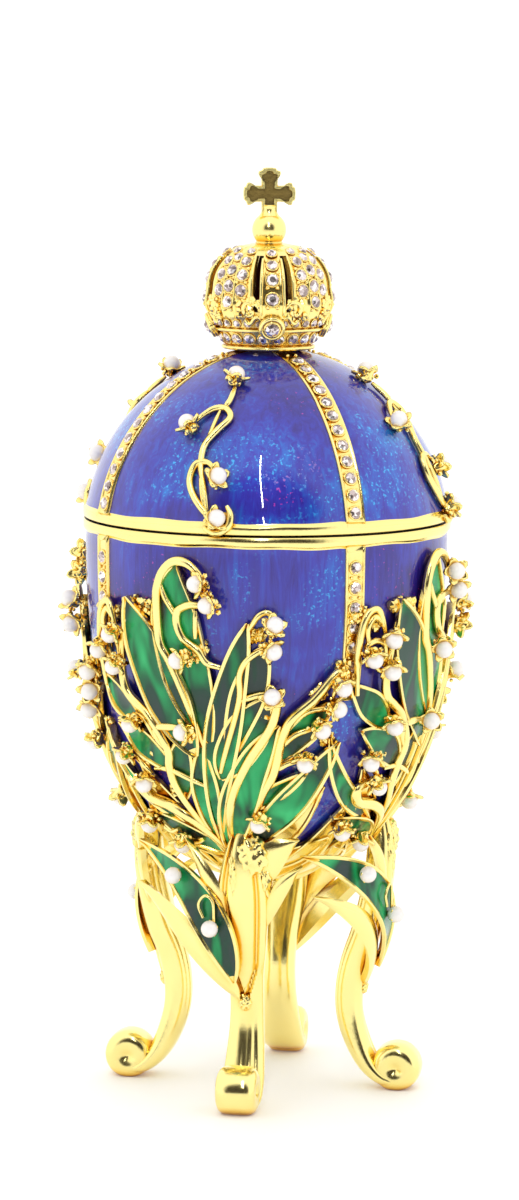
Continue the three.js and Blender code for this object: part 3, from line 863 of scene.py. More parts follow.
def make_crown():
    """The crown's shell: an outer and an inner skin, joined round the slots and along the foot."""
    heights = [0, 0.15, 0.3, 0.45, 0.55, 1.0, 1.7, 2.45, 2.6, 2.78, 2.95, 3.1, 3.6, 4.3, 4.5, 4.9]
    heights += [SLOT_LOW + (SLOT_HIGH - SLOT_LOW) * i / SLOT_ROWS for i in range(SLOT_ROWS + 1)]
    heights += [13.4, 13.7, 14.0, 14.2, 14.4, CROWN_HEIGHT]
    outer, inner = [], []
    for height in heights:
        outer_ring, inner_ring = [], []
        radius = crown_radius(height)
        inside = min(height, CROWN_HEIGHT - CROWN_WALL)
        inside_radius = max(1.4, crown_radius(inside) - CROWN_WALL)
        for i in range(len(SIDES)):
            for angle in crown_columns(radius):
                facing = CROWN_TURN + QUARTER * i + angle
                lift = crown_relief(angle, height)
                outer_ring.append(around(facing, radius + lift, CROWN_FOOT + height))
                inner_ring.append(around(facing, inside_radius, CROWN_FOOT + inside))
        outer.append(outer_ring)
        inner.append(inner_ring)
    form = Form()
    width = len(outer[0])
    quarter = width // len(SIDES)
    form.points = [point for rings in (outer, inner) for ring in rings for point in ring]
    back = len(heights) * width

    def is_open(row, column):
        if not 0 <= row < len(heights) - 1:
            return False
        place = column % quarter
        slot = place in (ARCH_COLUMNS, quarter - 1)
        return slot and heights[row] >= SLOT_LOW and heights[row + 1] <= SLOT_HIGH

    def wall(a, b):
        form.face((a, b, back + b, back + a), 0)

    for row in range(len(heights) - 1):
        for column in range(width):
            beside = (column + 1) % width
            low, high = row * width, (row + 1) * width
            corners = (low + column, low + beside, high + beside, high + column)
            if not is_open(row, column):
                form.face(corners, 0)
                form.face([back + corner for corner in reversed(corners)], 1)
                continue
            wall(corners[0], corners[3])
            wall(corners[1], corners[2])
            if not is_open(row - 1, column):
                wall(corners[0], corners[1])
            if not is_open(row + 1, column):
                wall(corners[3], corners[2])
    for column in range(width):
        wall(column, (column + 1) % width)
    last = (len(heights) - 1) * width
    form.face(range(last, last + width), 0)
    form.face(range(back + last, back + last + width), 1)
    shell = form.piece("crown_shell", [GOLD, MAROON], 40.0)
    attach(shell, "root")
    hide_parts("crown")


def on_crown(angle, height, lift):
    """A point off the crown's outline and the way it faces."""
    low, high = crown_radius(height - 0.3), crown_radius(height + 0.3)
    slope = Vector((0.6, low - high)).normalized()
    radius = crown_radius(height) + slope.x * lift
    point = around(angle, radius, CROWN_FOOT + height + slope.y * lift)
    return point, around(angle, slope.x, slope.y)


# Stones of the crown: height above its foot and radius. Then each column of them: its angle from
# an arch, its stones and their lift.
ARCH_STONES = ((7.1, 0.96), (9.75, 0.9), (11.6, 0.82), (13.1, 0.7))
SIDE_STONES = ((8.3, 0.95), (10.4, 0.88), (12.2, 0.8), (13.5, 0.66))
MIDDLE_STONES = ((6.7, 0.9), (8.9, 0.95), (11.0, 0.88), (12.7, 0.76))
STONE_COLUMNS = ((0, ARCH_STONES, 0.42), (31, SIDE_STONES, 0.16),
                 (45, MIDDLE_STONES, 0.16), (59, SIDE_STONES, 0.16))
COLUMN_BEAD_DROP = 0.95
# The rows round its foot and its flange: places in the row, then a stone's height, lift and
# radius. The flange has none within an angle of a bezel.
FOOT_STONES = 20
FOOT_STONES_TURN = 9
FOOT_STONE = (1.55, 0.05, 0.84)
FLANGE_STONES = 28
FLANGE_STONE = (3.75, 0.1, 0.6)
BEZEL_ROOM = 12
BEZEL_HEIGHT = 3.4
BEZEL_RADIUS = 1.5
BEZEL_STONE = 1.08


def make_crown_stones():
    """The crown's stones in their collars, with two beads below each one of a column."""
    places, beads = [], []
    for i in range(len(SIDES)):
        facing = CROWN_TURN + QUARTER * i
        for angle, stones, lift in STONE_COLUMNS:
            for height, radius in stones:
                places.append((*on_crown(facing + angle, height, lift), radius))
                for aside in (-1, 1):
                    shift = aside * math.degrees(BEAD_ASIDE / crown_radius(height))
                    low = height - COLUMN_BEAD_DROP
                    beads.append((*on_crown(facing + angle + shift, low, lift), 1.0))
        places.append((*on_crown(facing, BEZEL_HEIGHT, 1.0), BEZEL_STONE))
    height, lift, radius = FOOT_STONE
    for i in range(FOOT_STONES):
        angle = CROWN_TURN + FOOT_STONES_TURN + 360 / FOOT_STONES * i
        places.append((*on_crown(angle, height, lift), radius))
    height, lift, radius = FLANGE_STONE
    for i in range(FLANGE_STONES):
        angle = 360 / FLANGE_STONES * i
        if BEZEL_ROOM < angle % QUARTER < QUARTER - BEZEL_ROOM:
            places.append((*on_crown(CROWN_TURN + angle, height, lift), radius))
    set_out("crown_stones", STONES, 1.0, places)
    set_out("crown_collars", COLLARS, 1.0, places)
    set_out("crown_beads", BEADS, 1.15 * BEAD_RADIUS, beads)


def ring_run(centre, outward, radius):
    """A closed circle of points round a centre, square to the way it faces."""
    steps = 20
    side = Vector((0, 0, 1)).cross(outward).normalized()
    up = outward.cross(side).normalized()
    turns = [2 * math.pi * i / steps for i in range(steps + 1)]
    return [centre + (side * math.cos(a) + up * math.sin(a)) * radius for a in turns]


# Rails beside the crown's slots and between its columns of stones: angle from an arch, lowest
# height, number of points, lift and radius.
RAILS = ((SLOT_ANGLE - 4.6, 5.2, 10, 0.45, 0.24), (SLOT_ANGLE + 5.6, 5.2, 10, 0.12, 0.26),
         (38, 5.0, 11, 0.12, 0.26))
RAIL_STEP = 0.8
RAIL_END = 0.18
WAVE_POINTS = 6
SCROLL_STEPS = 25
SCROLL_RADIUS = 1.4
# Crumbs of gold each side of a bezel: how many, and the least and most of angle, height and size.
CROWN_CRUMBS = 30
CROWN_CRUMB_ANGLES = (11, 34)
CROWN_CRUMB_HEIGHTS = (4.4, 7.2)
CROWN_CRUMB_SIZES = (0.8, 1.5)
# Hoops round the crown's foot and flange: height and the wire's radius.
HOOPS = ((0.2, 0.3), (2.75, 0.26))
HOOP_STEPS = 96


def make_crown_ornament():
    """The bezels, the scrolls and crumbs that flank them, the rails and the hoops."""
    runs, crumbs = [], []
    chance = random.Random(2)
    for i in range(len(SIDES)):
        facing = CROWN_TURN + QUARTER * i
        centre, outward = on_crown(facing, BEZEL_HEIGHT, 0.75)
        runs.append((ring_run(centre, outward, BEZEL_RADIUS), 0.34, 0.34))
        runs.append((ring_run(centre - outward * 0.35, outward, BEZEL_RADIUS), 0.4, 0.4))
        for side in (-1, 1):
            scroll = []
            for k in range(SCROLL_STEPS + 1):
                turn = k / SCROLL_STEPS * 2.1 * math.pi
                size = SCROLL_RADIUS * (1 - 0.75 * k / SCROLL_STEPS)
                angle = facing + side * (21.5 - math.degrees(size * math.cos(turn) / BULGE_RADIUS))
                scroll.append(on_crown(angle, 5.6 + size * math.sin(turn), 0.12)[0])
            runs.append((scroll, 0.36, 0.26))
            for _ in range(CROWN_CRUMBS):
                angle = facing + side * chance.uniform(*CROWN_CRUMB_ANGLES)
                place = on_crown(angle, chance.uniform(*CROWN_CRUMB_HEIGHTS), 0.15)
                crumbs.append((*place, chance.uniform(*CROWN_CRUMB_SIZES)))
            wave = []
            for k in range(WAVE_POINTS):
                angle = facing + side * (11 + 3.2 * k)
                wave.append(on_crown(angle, 4.35 + 0.5 * math.sin(k * 1.3), 0.25)[0])
            runs.append((smooth_run(wave, 4), 0.36, 0.2))
            for away, low, count, lift, radius in RAILS:
                rail = [on_crown(facing + side * away, low + RAIL_STEP * k, lift)[0]
                        for k in range(count)]
                runs.append((smooth_run(rail, 3), radius, RAIL_END))
    for height, radius in HOOPS:
        hoop = [on_crown(360 / HOOP_STEPS * k, height, 0.05)[0] for k in range(HOOP_STEPS + 1)]
        runs.append((hoop, radius, radius))
    draw_wires("crown_scrolls", runs)
    set_out("crown_crumbs", ROUGH_CRUMBS, CRUMB_RADIUS, crumbs)


# The ball, sunk a little in the crown, and the cross, sunk a little in the ball. The collar and
# the neck are radius and height, above the collar's foot and above the ball's middle. The arm is
# half its width and how far out, as shares, and the face's edge is how far in, then depth.
BALL_RADIUS = 2.4
BALL_RISE = 0.78
CROSS_RISE = 0.85
COLLAR_SUNK = 0.2
BALL_ROWS = 20
COLLAR = ((1.9, 0), (1.9, 0.3), (1.7, 0.6), (1.3, 0.9))
NECK = ((1.7, 1.5), (1.3, 2.1), (1.05, 2.6), (1.0, 3.0), (1.1, 3.25), (0.9, 3.45))
CROSS_HEIGHT = 6.6
HALF_SPAN = 3.65
HALF_ARM = 1.1
HALF_DEPTH = 0.65
ARM = ((1.02, HALF_ARM / HALF_SPAN), (1.05, 0.55), (1.3, 0.66), (1.45, 0.76),
       (1.38, 0.86), (0.95, 0.9), (0.8, 0.98), (0.3, 1.0))
FACE_EDGE = ((0.52, HALF_DEPTH - 0.22), (0.46, HALF_DEPTH), (0.1, HALF_DEPTH),
             (0.0, HALF_DEPTH - 0.2))
LEAST_HALF = 0.15


def make_cross():
    """The ball, its neck, and the cross on it, whose face is sunk inside a narrow edge and darkened
    with painted shade.
    """
    form = Form()
    top = CROWN_FOOT + CROWN_HEIGHT
    centre = top + BALL_RADIUS * BALL_RISE
    rings = [[Vector((0, 0, centre - BALL_RADIUS))]]
    for i in range(1, BALL_ROWS):
        a = math.pi * i / BALL_ROWS
        rings.append(circle(BALL_RADIUS * math.sin(a), centre - BALL_RADIUS * math.cos(a)))
    rings.append([Vector((0, 0, centre + BALL_RADIUS))])
    form.loft(rings)
    form.loft([circle(radius, top - COLLAR_SUNK + height) for radius, height in COLLAR])
    form.loft([circle(radius, centre + height) for radius, height in NECK])
    outline = []
    for quarter in range(4):
        turn = Matrix.Rotation(-math.pi / 2 * quarter, 2)
        # The lower arm runs straight down to the neck.
        widest = HALF_ARM if quarter == 2 else HALF_SPAN
        arm = [(min(HALF_ARM * wide, widest), HALF_SPAN * along) for wide, along in ARM]
        outline += [turn @ Vector((-x, y)) for x, y in arm]
        outline += [turn @ Vector((x, y)) for x, y in reversed(arm)]
    middle = top + BALL_RADIUS * (BALL_RISE + CROSS_RISE) + CROSS_HEIGHT - HALF_SPAN
    path = [(inset, -depth) for inset, depth in FACE_EDGE]
    path += [(inset, depth) for inset, depth in reversed(FACE_EDGE)]
    rings = []
    for inset, depth in path:
        ring = []
        for p in outline:
            x, y = [math.copysign(max(LEAST_HALF, abs(v) - inset), v) for v in p]
            ring.append(Vector((x, depth, middle + y)))
        rings.append(ring)
    cross = Form()
    cross.loft(rings)
    # The two sunk faces come last; they take the dark gold of painted shade.
    cross.slots[-2:] = [1, 1]
    start = len(form.points)
    form.points += cross.turned(CROWN_TURN).points
    for corners, slot in zip(cross.faces, cross.slots):
        form.face([start + corner for corner in corners], slot)
    made = form.piece("ball_and_cross", [GOLD, PAINTED_SHADE_GOLD], 30.0)
    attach(made, "root")


# The leaves of a lower spray: base, middle and tip, each an angle and a drop, then the width, and
# how far a leaf lies over its neighbours.
LEAVES = (
    ((-13.0, 0.6), (-26.4, 0.37), (-36.0, 0.175), 7.7, 0.25),
    ((-7.5, 0.56), (-17.5, 0.28), (-17.0, 0.075), 8.0, 0.0),
    ((-10.7, 0.84), (-2.0, 0.47), (5.0, 0.225), 5.0, 0.3),
    ((-3.0, 0.62), (5.8, 0.4), (9.5, 0.29), 4.9, 0.0),
    ((-5.5, 0.66), (4.0, 0.53), (12.0, 0.42), 6.3, 0.15),
    ((-6.9, 0.9), (3.3, 0.665), (15.0, 0.5), 5.4, 0.4),
    ((0.0, 0.88), (21.7, 0.706), (35.5, 0.55), 4.9, 0.3),
    ((5.0, 0.75), (15.8, 0.685), (25.5, 0.635), 2.9, 0.1),
    ((12.0, 0.62), (23.0, 0.52), (33.0, 0.44), 4.2, 0.0),
    ((-11.5, 0.85), (-12.1, 0.695), (-11.3, 0.55), 4.2, 0.1),
    ((-22.0, 0.73), (-20.2, 0.62), (-18.0, 0.55), 4.0, 0.0),
    ((-24.5, 0.65), (-35.7, 0.575), (-47.0, 0.53), 4.6, 0.15),
    ((-35.0, 0.53), (-44.1, 0.463), (-52.5, 0.4), 4.4, 0.0),
    ((-9.0, 0.89), (-28.5, 0.825), (-50.0, 0.78), 4.2, 0.1),
    ((-26.0, 0.8), (-48.0, 0.7), (-58.0, 0.54), 3.0, 0.0),
)
PLAIN_LEAVES = (
    ((-8.0, 0.93), (-28.0, 0.8), (-42.0, 0.64), 5.0, -0.5),
    ((2.0, 0.93), (20.0, 0.82), (33.0, 0.68), 4.0, -0.35),
    ((0.0, 0.95), (26.0, 0.9), (44.0, 0.84), 4.4, -0.4),
    ((10.0, 0.98), (34.0, 0.9), (45.0, 0.74), 5.0, -0.2),
    ((14.0, 0.99), (44.0, 0.96), (56.0, 0.82), 6.0, -0.2),
    ((-4.0, 0.95), (-24.0, 0.92), (-40.0, 0.87), 4.0, -0.4),
)
RIM_LIFT = 1.35
FLOOR_LIFT = 0.85
UNDER_LIFT = 0.3
LEAF_EDGE = 0.6
LEAF_ROWS = 26
FLOOR_PLACES = range(4, 8)

# Its stems: radius, then the places they run through.
STEMS = (
    (0.6, ((-10.0, 0.569), (-15.1, 0.446), (-20.0, 0.339), (-23.2, 0.286), (-23.8, 0.178),
           (-23.0, 0.13), (-21.0, 0.095), (-17.6, 0.072), (-13.4, 0.076), (-10.0, 0.1),
           (-9.0, 0.12))),
    (0.38, ((-22.4, 0.134), (-20.7, 0.172), (-17.3, 0.217), (-16.5, 0.25))),
    (0.55, ((-3.4, 0.35), (-7.7, 0.338), (-10.4, 0.306), (-14.8, 0.278), (-16.9, 0.239),
            (-16.6, 0.205), (-13.5, 0.188), (-10.0, 0.185), (-7.0, 0.188))),
    (0.34, ((-10.9, 0.2), (-11.0, 0.235), (-11.1, 0.275))),
    (0.42, ((-5.3, 0.639), (-3.2, 0.587), (2.2, 0.439), (2.4, 0.37), (4.6, 0.329), (9.1, 0.301),
            (12.5, 0.3))),
    (0.42, ((2.2, 0.439), (7.8, 0.422), (12.3, 0.418))),
    (0.4, ((5.0, 0.25), (8.0, 0.21), (11.0, 0.2), (12.8, 0.224))),
    (0.62, ((-7.5, 0.9), (-4.3, 0.773), (-1.0, 0.69), (5.0, 0.6), (12.0, 0.51), (14.0, 0.44),
            (13.0, 0.42))),
    (0.62, ((1.0, 0.86), (8.7, 0.71), (13.3, 0.636), (15.7, 0.542), (18.4, 0.489), (25.8, 0.433),
            (32.5, 0.365), (34.5, 0.385))),
    (0.42, ((16.5, 0.52), (23.0, 0.47), (29.0, 0.46), (32.0, 0.455))),
    (0.4, ((15.0, 0.57), (20.0, 0.53), (26.5, 0.512))),
    (0.4, ((14.0, 0.63), (18.0, 0.61), (22.5, 0.6))),
    (0.36, ((3.5, 0.83), (5.0, 0.79), (8.0, 0.765))),
    (0.6, ((-11.0, 0.87), (-20.0, 0.76), (-24.5, 0.69), (-25.2, 0.637), (-24.2, 0.593),
           (-25.9, 0.552), (-30.1, 0.499), (-34.5, 0.469), (-38.6, 0.437), (-39.8, 0.383),
           (-38.5, 0.3), (-37.0, 0.24))),
    (0.5, ((-24.2, 0.593), (-27.8, 0.557), (-27.5, 0.528), (-22.5, 0.522), (-16.5, 0.522))),
    (0.4, ((-29.0, 0.56), (-32.0, 0.51), (-36.0, 0.5), (-36.5, 0.518))),
    (0.36, ((-32.5, 0.646), (-25.6, 0.643), (-18.0, 0.662), (-12.0, 0.68))),
    (0.75, ((-9.5, 0.86), (-20.9, 0.785), (-30.4, 0.75), (-40.0, 0.735), (-43.0, 0.7),
            (-39.0, 0.68))),
    (0.42, ((-34.0, 0.67), (-38.5, 0.635), (-43.0, 0.61))),
    (0.42, ((-37.0, 0.36), (-41.5, 0.37), (-45.5, 0.34), (-47.8, 0.3), (-44.5, 0.285),
            (-41.5, 0.3), (-40.3, 0.35))),
    (0.46, ((-50.0, 0.43), (-51.0, 0.34), (-50.0, 0.25), (-48.0, 0.21), (-45.0, 0.2),
            (-43.0, 0.225), (-41.5, 0.265))),
    (0.42, ((-43.0, 0.24), (-45.5, 0.22), (-48.0, 0.25), (-47.2, 0.3))),
    (0.42, ((-20.0, 0.84), (-26.0, 0.85), (-30.0, 0.842))),
    (0.42, ((-33.0, 0.82), (-40.0, 0.83), (-46.0, 0.8))),
)
STEM_LIFT = 1.2
STEM_MIDDLE = 1.15
STEM_END = 0.7

# Its flowers: angle, drop, and the way the cup leans, in degrees. The first have pearls of their
# own in the frame.
FLOWERS = ((-9.7, 0.125, -90), (-6.5, 0.18, -110), (-15.8, 0.33, -110), (-16.0, 0.522, -90),
           (12.8, 0.227, 30), (12.5, 0.298, 120), (12.3, 0.418, -20), (33.5, 0.4, 150),
           (32.4, 0.455, 100), (27.8, 0.51, 140), (23.2, 0.6, 200), (8.0, 0.767, 215),
           (-36.0, 0.518, 200), (-43.0, 0.61, 210), (-36.5, 0.68, 150), (-30.0, 0.842, 190),
           (-46.0, 0.8, 180), (-40.0, 0.367, 200), (-40.5, 0.282, 210), (-47.0, 0.33, 180))

# The lid's sprays, as angles from a panel's middle and rises.
LID_STEMS = (
    (0.52, ((0.8, 0.1), (-1.2, 0.11), (-5.8, 0.197), (-8.5, 0.291), (-7.6, 0.381), (-3.5, 0.395),
            (-0.8, 0.36))),
    (0.34, ((-2.6, 0.15), (-4.2, 0.26), (-5.4, 0.37))),
    (0.48, ((-1.5, 0.117), (-3.2, 0.254), (-5.5, 0.37), (-5.9, 0.484), (-2.4, 0.567),
            (1.5, 0.635), (-1.2, 0.681), (-6.4, 0.679), (-10.5, 0.644), (-12.5, 0.61))),
    (0.3, ((-5.7, 0.471), (-4.5, 0.593), (-3.6, 0.67))),
    (0.42, ((-2.1, 0.69), (-0.7, 0.727), (-0.4, 0.79))),
)
LID_CURL = ((-2.2, 0.045), (0.2, 0.02), (3.2, 0.025), (5.4, 0.06), (5.8, 0.12), (4.6, 0.165))
LID_STEM_LIFT = 0.55
LID_STEM_END = 0.6
LID_CURL_LIFT = 0.7
LID_CURL_RADII = (0.55, 0.3)
LID_FLOWERS = ((-0.8, 0.83, 20), (-14.4, 0.58, -50), (1.6, 0.315, 80), (2.2, 0.096, 60))


def leaf_rings(base, middle, tip, width, over):
    """A leaf's sections, with raised edges and a hollow floor for enamel, and its half widths."""
    bend = [2 * middle[k] - (base[k] + tip[k]) / 2 for k in (0, 1)]

    def spine(t):
        angle, drop = [(1 - t) ** 2 * base[k] + 2 * t * (1 - t) * bend[k] + t * t * tip[k]
                       for k in (0, 1)]
        return on_egg(bowl_at, angle, drop, 0), on_egg(bowl_at, angle, drop, 1)

    rings, halves = [], []
    for i in range(LEAF_ROWS + 1):
        t = 0.01 + 0.98 * i / LEAF_ROWS
        here, above = spine(t)
        side = (spine(t + 0.01)[0] - spine(t - 0.01)[0]).cross(above - here).normalized()
        waver = 1 + 0.03 * math.sin(13 * t + 3 * width)
        half = max(0.25, width / 2 * math.sin(math.pi * t ** 0.85) ** 0.75 * waver)
        edge = min(0.9, LEAF_EDGE / half)
        curl = 0.16 * math.sin(7 * t + width)
        rim, floor = RIM_LIFT + over, FLOOR_LIFT + over
        section = both_sides([
            (1.0, 0.75 + over), (0.97, rim - 0.1), (1 - edge * 0.45, rim),
            (1 - edge * 0.85, rim - 0.12), (1 - edge, floor + 0.12),
            ((1 - edge) * 0.55, floor), (0.0, floor - 0.04),
        ])
        section += [(0.6, UNDER_LIFT), (-0.6, UNDER_LIFT)]
        ring = []
        for share, lift in section:
            point = here + side * share * half
            angle = math.degrees(math.atan2(point.x, -point.y))
            lift += curl if lift > 1 else 0
            ring.append(on_egg(bowl_at, angle, (JOINT - point.z) / BOWL_DEPTH, lift))
        rings.append(ring)
        halves.append(half)
    return rings, halves


def enamelled_floor(halves):
    """Which faces of a leaf are enamel: its floor's, where it is wide enough to have one."""

    def slot_of(ring, place):
        wide = halves[ring] > 1.3 * LEAF_EDGE and 0 < ring < LEAF_ROWS
        return 1 if wide and place in FLOOR_PLACES else 0

    return slot_of


def add_leaves(form):
    """A spray's enamelled leaves, and the plain gold ones round its foot."""
    for leaf in LEAVES:
        rings, halves = leaf_rings(*leaf)
        form.loft(rings, enamelled_floor(halves))
    for leaf in PLAIN_LEAVES:
        form.loft(leaf_rings(*leaf)[0])


# The leg as radius from the middle, height, width and thickness, down from its root.
LEG = ((16.4, 40.4, 1.2, 0.8), (16.6, 38.6, 3.4, 2.6), (16.8, 35.0, 5.6, 3.8),
       (16.5, 30.2, 7.2, 4.2), (15.0, 23.2, 6.3, 4.3), (13.3, 18.4, 5.0, 4.1),
       (12.5, 14.4, 4.7, 4.0), (12.6, 10.6, 4.9, 3.9), (13.6, 7.0, 5.4, 3.6),
       (15.2, 3.8, 5.9, 3.0), (17.2, 1.8, 6.0, 2.3), (19.2, 1.15, 5.6, 1.6))
LEG_POINTS = 72
SQUARED = 0.8
# Across its front, as shares of half its width: two creases that meet at the knot, and a flute.
KNOT = 14.6
CREASES = (-0.66, 0.6)
CREASE_WIDTH = 0.1
CREASE_DEPTH = 0.75
FLUTE = 0.3
FLUTE_WIDTH = 0.24
FLUTE_DEPTH = 0.4
FOOT_SPREAD = 19.4
FOOT_RADIUS = 3.5
FOOT_WIDTH = 5.8
FOOT_FLAT = 0.3
FOOT_POINTS = 36
# Half the curled foot's section, as shares of its radius and of its width.
FOOT_SECTION = ((0.0, 0.4), (0.1, 0.41), (0.2, 0.44), (0.32, 0.475), (0.5, 0.49), (0.68, 0.48),
                (0.84, 0.43), (0.94, 0.35), (0.985, 0.24), (1.0, 0.12))


def add_leg(form):
    """A leg: two creases meet at a knot near its waist, and a flute runs on towards its foot."""
    middles = smooth_run([leg_point(0, radius, height) for radius, height, _, _ in LEG])
    sizes = smooth_run([Vector((0, width, thick)) for _, _, width, thick in LEG])
    rings = []
    for i, (middle, size) in enumerate(zip(middles, sizes)):
        along = (middles[min(i + 1, len(middles) - 1)] - middles[max(i - 1, 0)]).normalized()
        outward = Vector((1, 0, 0)).cross(along).normalized()
        if outward.y > 0:
            outward = -outward
        above = max(0.0, min(1.0, (middle.z - KNOT) / 5.5))
        below = max(0.0, min(1.0, (KNOT - middle.z) / 3)) * max(0.0, min(1.0, middle.z / 5))
        ring = []
        for j in range(LEG_POINTS):
            a = 2 * math.pi * j / LEG_POINTS
            x, y = [0.5 * length * abs(way) ** SQUARED * math.copysign(1, way)
                    for length, way in ((size.y, math.cos(a)), (size.z, math.sin(a)))]
            if math.sin(a) > 0:
                share = x / (0.5 * size.y)
                creases = sum(math.exp(-((share - place * above) / CREASE_WIDTH) ** 2)
                              for place in CREASES)
                flute = math.exp(-((share - FLUTE) / FLUTE_WIDTH) ** 2)
                y -= (CREASE_DEPTH * min(1, above * 5) * min(1, creases)
                      + FLUTE_DEPTH * below * flute)
            ring.append(middle + Vector((x, 0, 0)) + outward * y)
        rings.append(ring)
    form.loft(rings)


def add_foot(form):
    """The curl that a leg ends in, with a small flat where it stands."""
    centre = Vector((0, -FOOT_SPREAD, FOOT_RADIUS - FOOT_FLAT))
    turns = [2 * math.pi * j / FOOT_POINTS for j in range(FOOT_POINTS)]
    outline = [(share, -aside) for share, aside in FOOT_SECTION]
    outline += [(share, aside) for share, aside in reversed(FOOT_SECTION)]
    rings = []
    for share, aside in outline:
        if share == 0:
            rings.append([centre + Vector((aside * FOOT_WIDTH, 0, 0))])
            continue
        reach = share * FOOT_RADIUS
        ring = [centre + Vector((aside * FOOT_WIDTH, reach * math.cos(a), reach * math.sin(a)))
                for a in turns]
        for point in ring:
            point.z = max(point.z, 0.0)
        rings.append(ring)
    form.loft(rings)


# Rough lumps on a leg: middle as across, out and up, then half sizes. The last is the knot.
LUMPS = (
    ((1.4, 17.3, 35.9), (2.4, 1.7, 3.0)), ((-0.9, 17.6, 33.4), (1.0, 1.3, 3.6)),
    ((3.0, 16.6, 32.6), (1.2, 1.4, 2.8)), ((0.0, 14.3, KNOT), (0.95, 0.8, 1.2)),
)
LUMP_ROUGHNESS = 0.06
LUMP_ROWS = 32
LUMP_POINTS = 44


def add_lumps(form):
    """The rough boss where the leaves spring from a leg, and the knot above its waist."""
    for middle, sizes in LUMPS:
        up = middle[2]
        rings = []
        for i in range(LUMP_ROWS + 1):
            tall = math.pi * i / LUMP_ROWS
            ring = []
            for j in range(1 if i in (0, LUMP_ROWS) else LUMP_POINTS):
                a = 2 * math.pi * j / LUMP_POINTS
                round_it = math.sin(tall)
                way = Vector((round_it * math.cos(a), round_it * math.sin(a), math.cos(tall)))
                rough = math.sin(9 * way.x + 5 * way.z) + math.sin(11 * way.z - 7 * way.x + up)
                rough += math.sin(19 * way.x + 3 * up) * math.sin(21 * way.z)
                own = Vector([w * size for w, size in zip(way, sizes)])
                ring.append(leg_point(*middle) + own * (1 + LUMP_ROUGHNESS * rough))
            rings.append(ring)
        form.loft(rings)


# What grows from a leg: root, bend and tip as across, out and up, then width, and if enamelled.
# They are the enamelled leaf, the long plain one under it, a short plain leaf and two thorns.
BRACTS = (
    ((-1.1, 16.4, 17.6), (-3.3, 22.6, 31.6), (-16.4, 7.9, 36.0), 5.7, True),
    ((-0.6, 14.2, 15.0), (-6.8, 20.2, 25.6), (-15.9, 9.5, 30.4), 3.9, False),
    ((0.4, 15.6, 30.0), (3.0, 18.4, 36.6), (7.8, 16.2, 38.4), 4.8, False),
    ((1.4, 15.2, 23.5), (4.2, 17.2, 31.4), (8.3, 16.0, 34.7), 2.6, False),
    ((-1.6, 16.4, 26.5), (-4.6, 18.8, 33.5), (-7.9, 15.8, 37.9), 2.2, False),
)
BRACT_UNDER = -0.55
LEG_PEARLS = ((-9.9, 16.5, 32.6), (-4.1, 19.6, 25.9))
LEG_CUP_SETBACK = 0.5
LEG_CUP_SIZE = 0.62
LEG_LOOP_RADIUS = 0.22
LEG_LOOP = ((-3.6, 18.9, 26.7), (-3.8, 18.9, 29.5), (-4.9, 18.8, 30.4), (-5.9, 18.4, 29.0),
            (-5.2, 18.5, 27.2))


def add_bracts(form):
    """The leg's own leaves and thorns. Plain ones have a rounded top in place of a floor."""
    for *places, width, enamelled in BRACTS:
        start, middle, end = [leg_point(*place) for place in places]
        rings, halves = [], []
        for i in range(LEAF_ROWS + 1):
            t = 0.01 + 0.98 * i / LEAF_ROWS
            here = start * (1 - t) ** 2 + middle * 2 * t * (1 - t) + end * t * t
            along = (middle - start) * (1 - t) + (end - middle) * t
            outward = Vector((here.x, here.y, 0)).normalized()
            side = along.cross(outward).normalized()
            outward = side.cross(along).normalized()
            half = max(0.18, width / 2 * math.sin(math.pi * t ** 0.8) ** 0.85)
            edge = min(0.9, LEAF_EDGE / half)
            top = [(1.0, 0.0), (0.97, 0.45), (1 - edge * 0.45, 0.55), (1 - edge * 0.9, 0.42),
                   (1 - edge, 0.28), ((1 - edge) * 0.5, 0.28 - 0.08), (0.0, 0.28 - 0.1)]
            if not enamelled:
                top = [(share, 0.5 * (1 - share * share) + 0.25) for share, _ in top]
            section = both_sides(top) + [(0.5, BRACT_UNDER), (-0.5, BRACT_UNDER)]
            rings.append([here + side * share * half + outward * lift for share, lift in section])
            halves.append(half)
        form.loft(rings, *([enamelled_floor(halves)] if enamelled else []))


def flower_place(profile, angle, share, lean, lift):
    """A pearl's centre and the way its cup faces."""
    centre = on_egg(profile, angle, share, lift)
    outward = (centre - on_egg(profile, angle, share, 0)).normalized()
    side = Vector((0, 0, 1)).cross(outward).normalized()
    up = outward.cross(side)
    lean = math.radians(lean)
    facing = (outward + (up * math.cos(lean) + side * math.sin(lean)) * CUP_LEAN).normalized()
    return centre, facing


def crumbs_round(centre, facing, chance):
    """Small lumps of gold, as a rough casting has, round the back of a flower cup."""
    side = facing.orthogonal().normalized()
    up = facing.cross(side)
    lumps = []
    for _ in range(CRUMBS):
        a = chance.uniform(0, 2 * math.pi)
        aside = (side * math.cos(a) + up * math.sin(a)) * chance.uniform(*CRUMBS_ASIDE)
        place = centre - facing * chance.uniform(*CRUMBS_BACK) + aside
        lumps.append((place, chance.uniform(*CRUMB_SIZES)))
    return lumps


# Where the casting is rough with lumps of gold, as angle and drop.
ROUGH_PATCHES = ((-30.0, 0.204), (-35.9, 0.198), (-50.4, 0.214), (-44.1, 0.238), (-12.2, 0.327),
                 (11.0, 0.474), (27.0, 0.414), (7.1, 0.262), (34.8, 0.355), (-10.1, 0.305),
                 (31.6, 0.551), (-26.6, 0.703), (-35.4, 0.625))
PATCH_LUMPS = 20
PATCH_REACH = (2.3, 0.018)


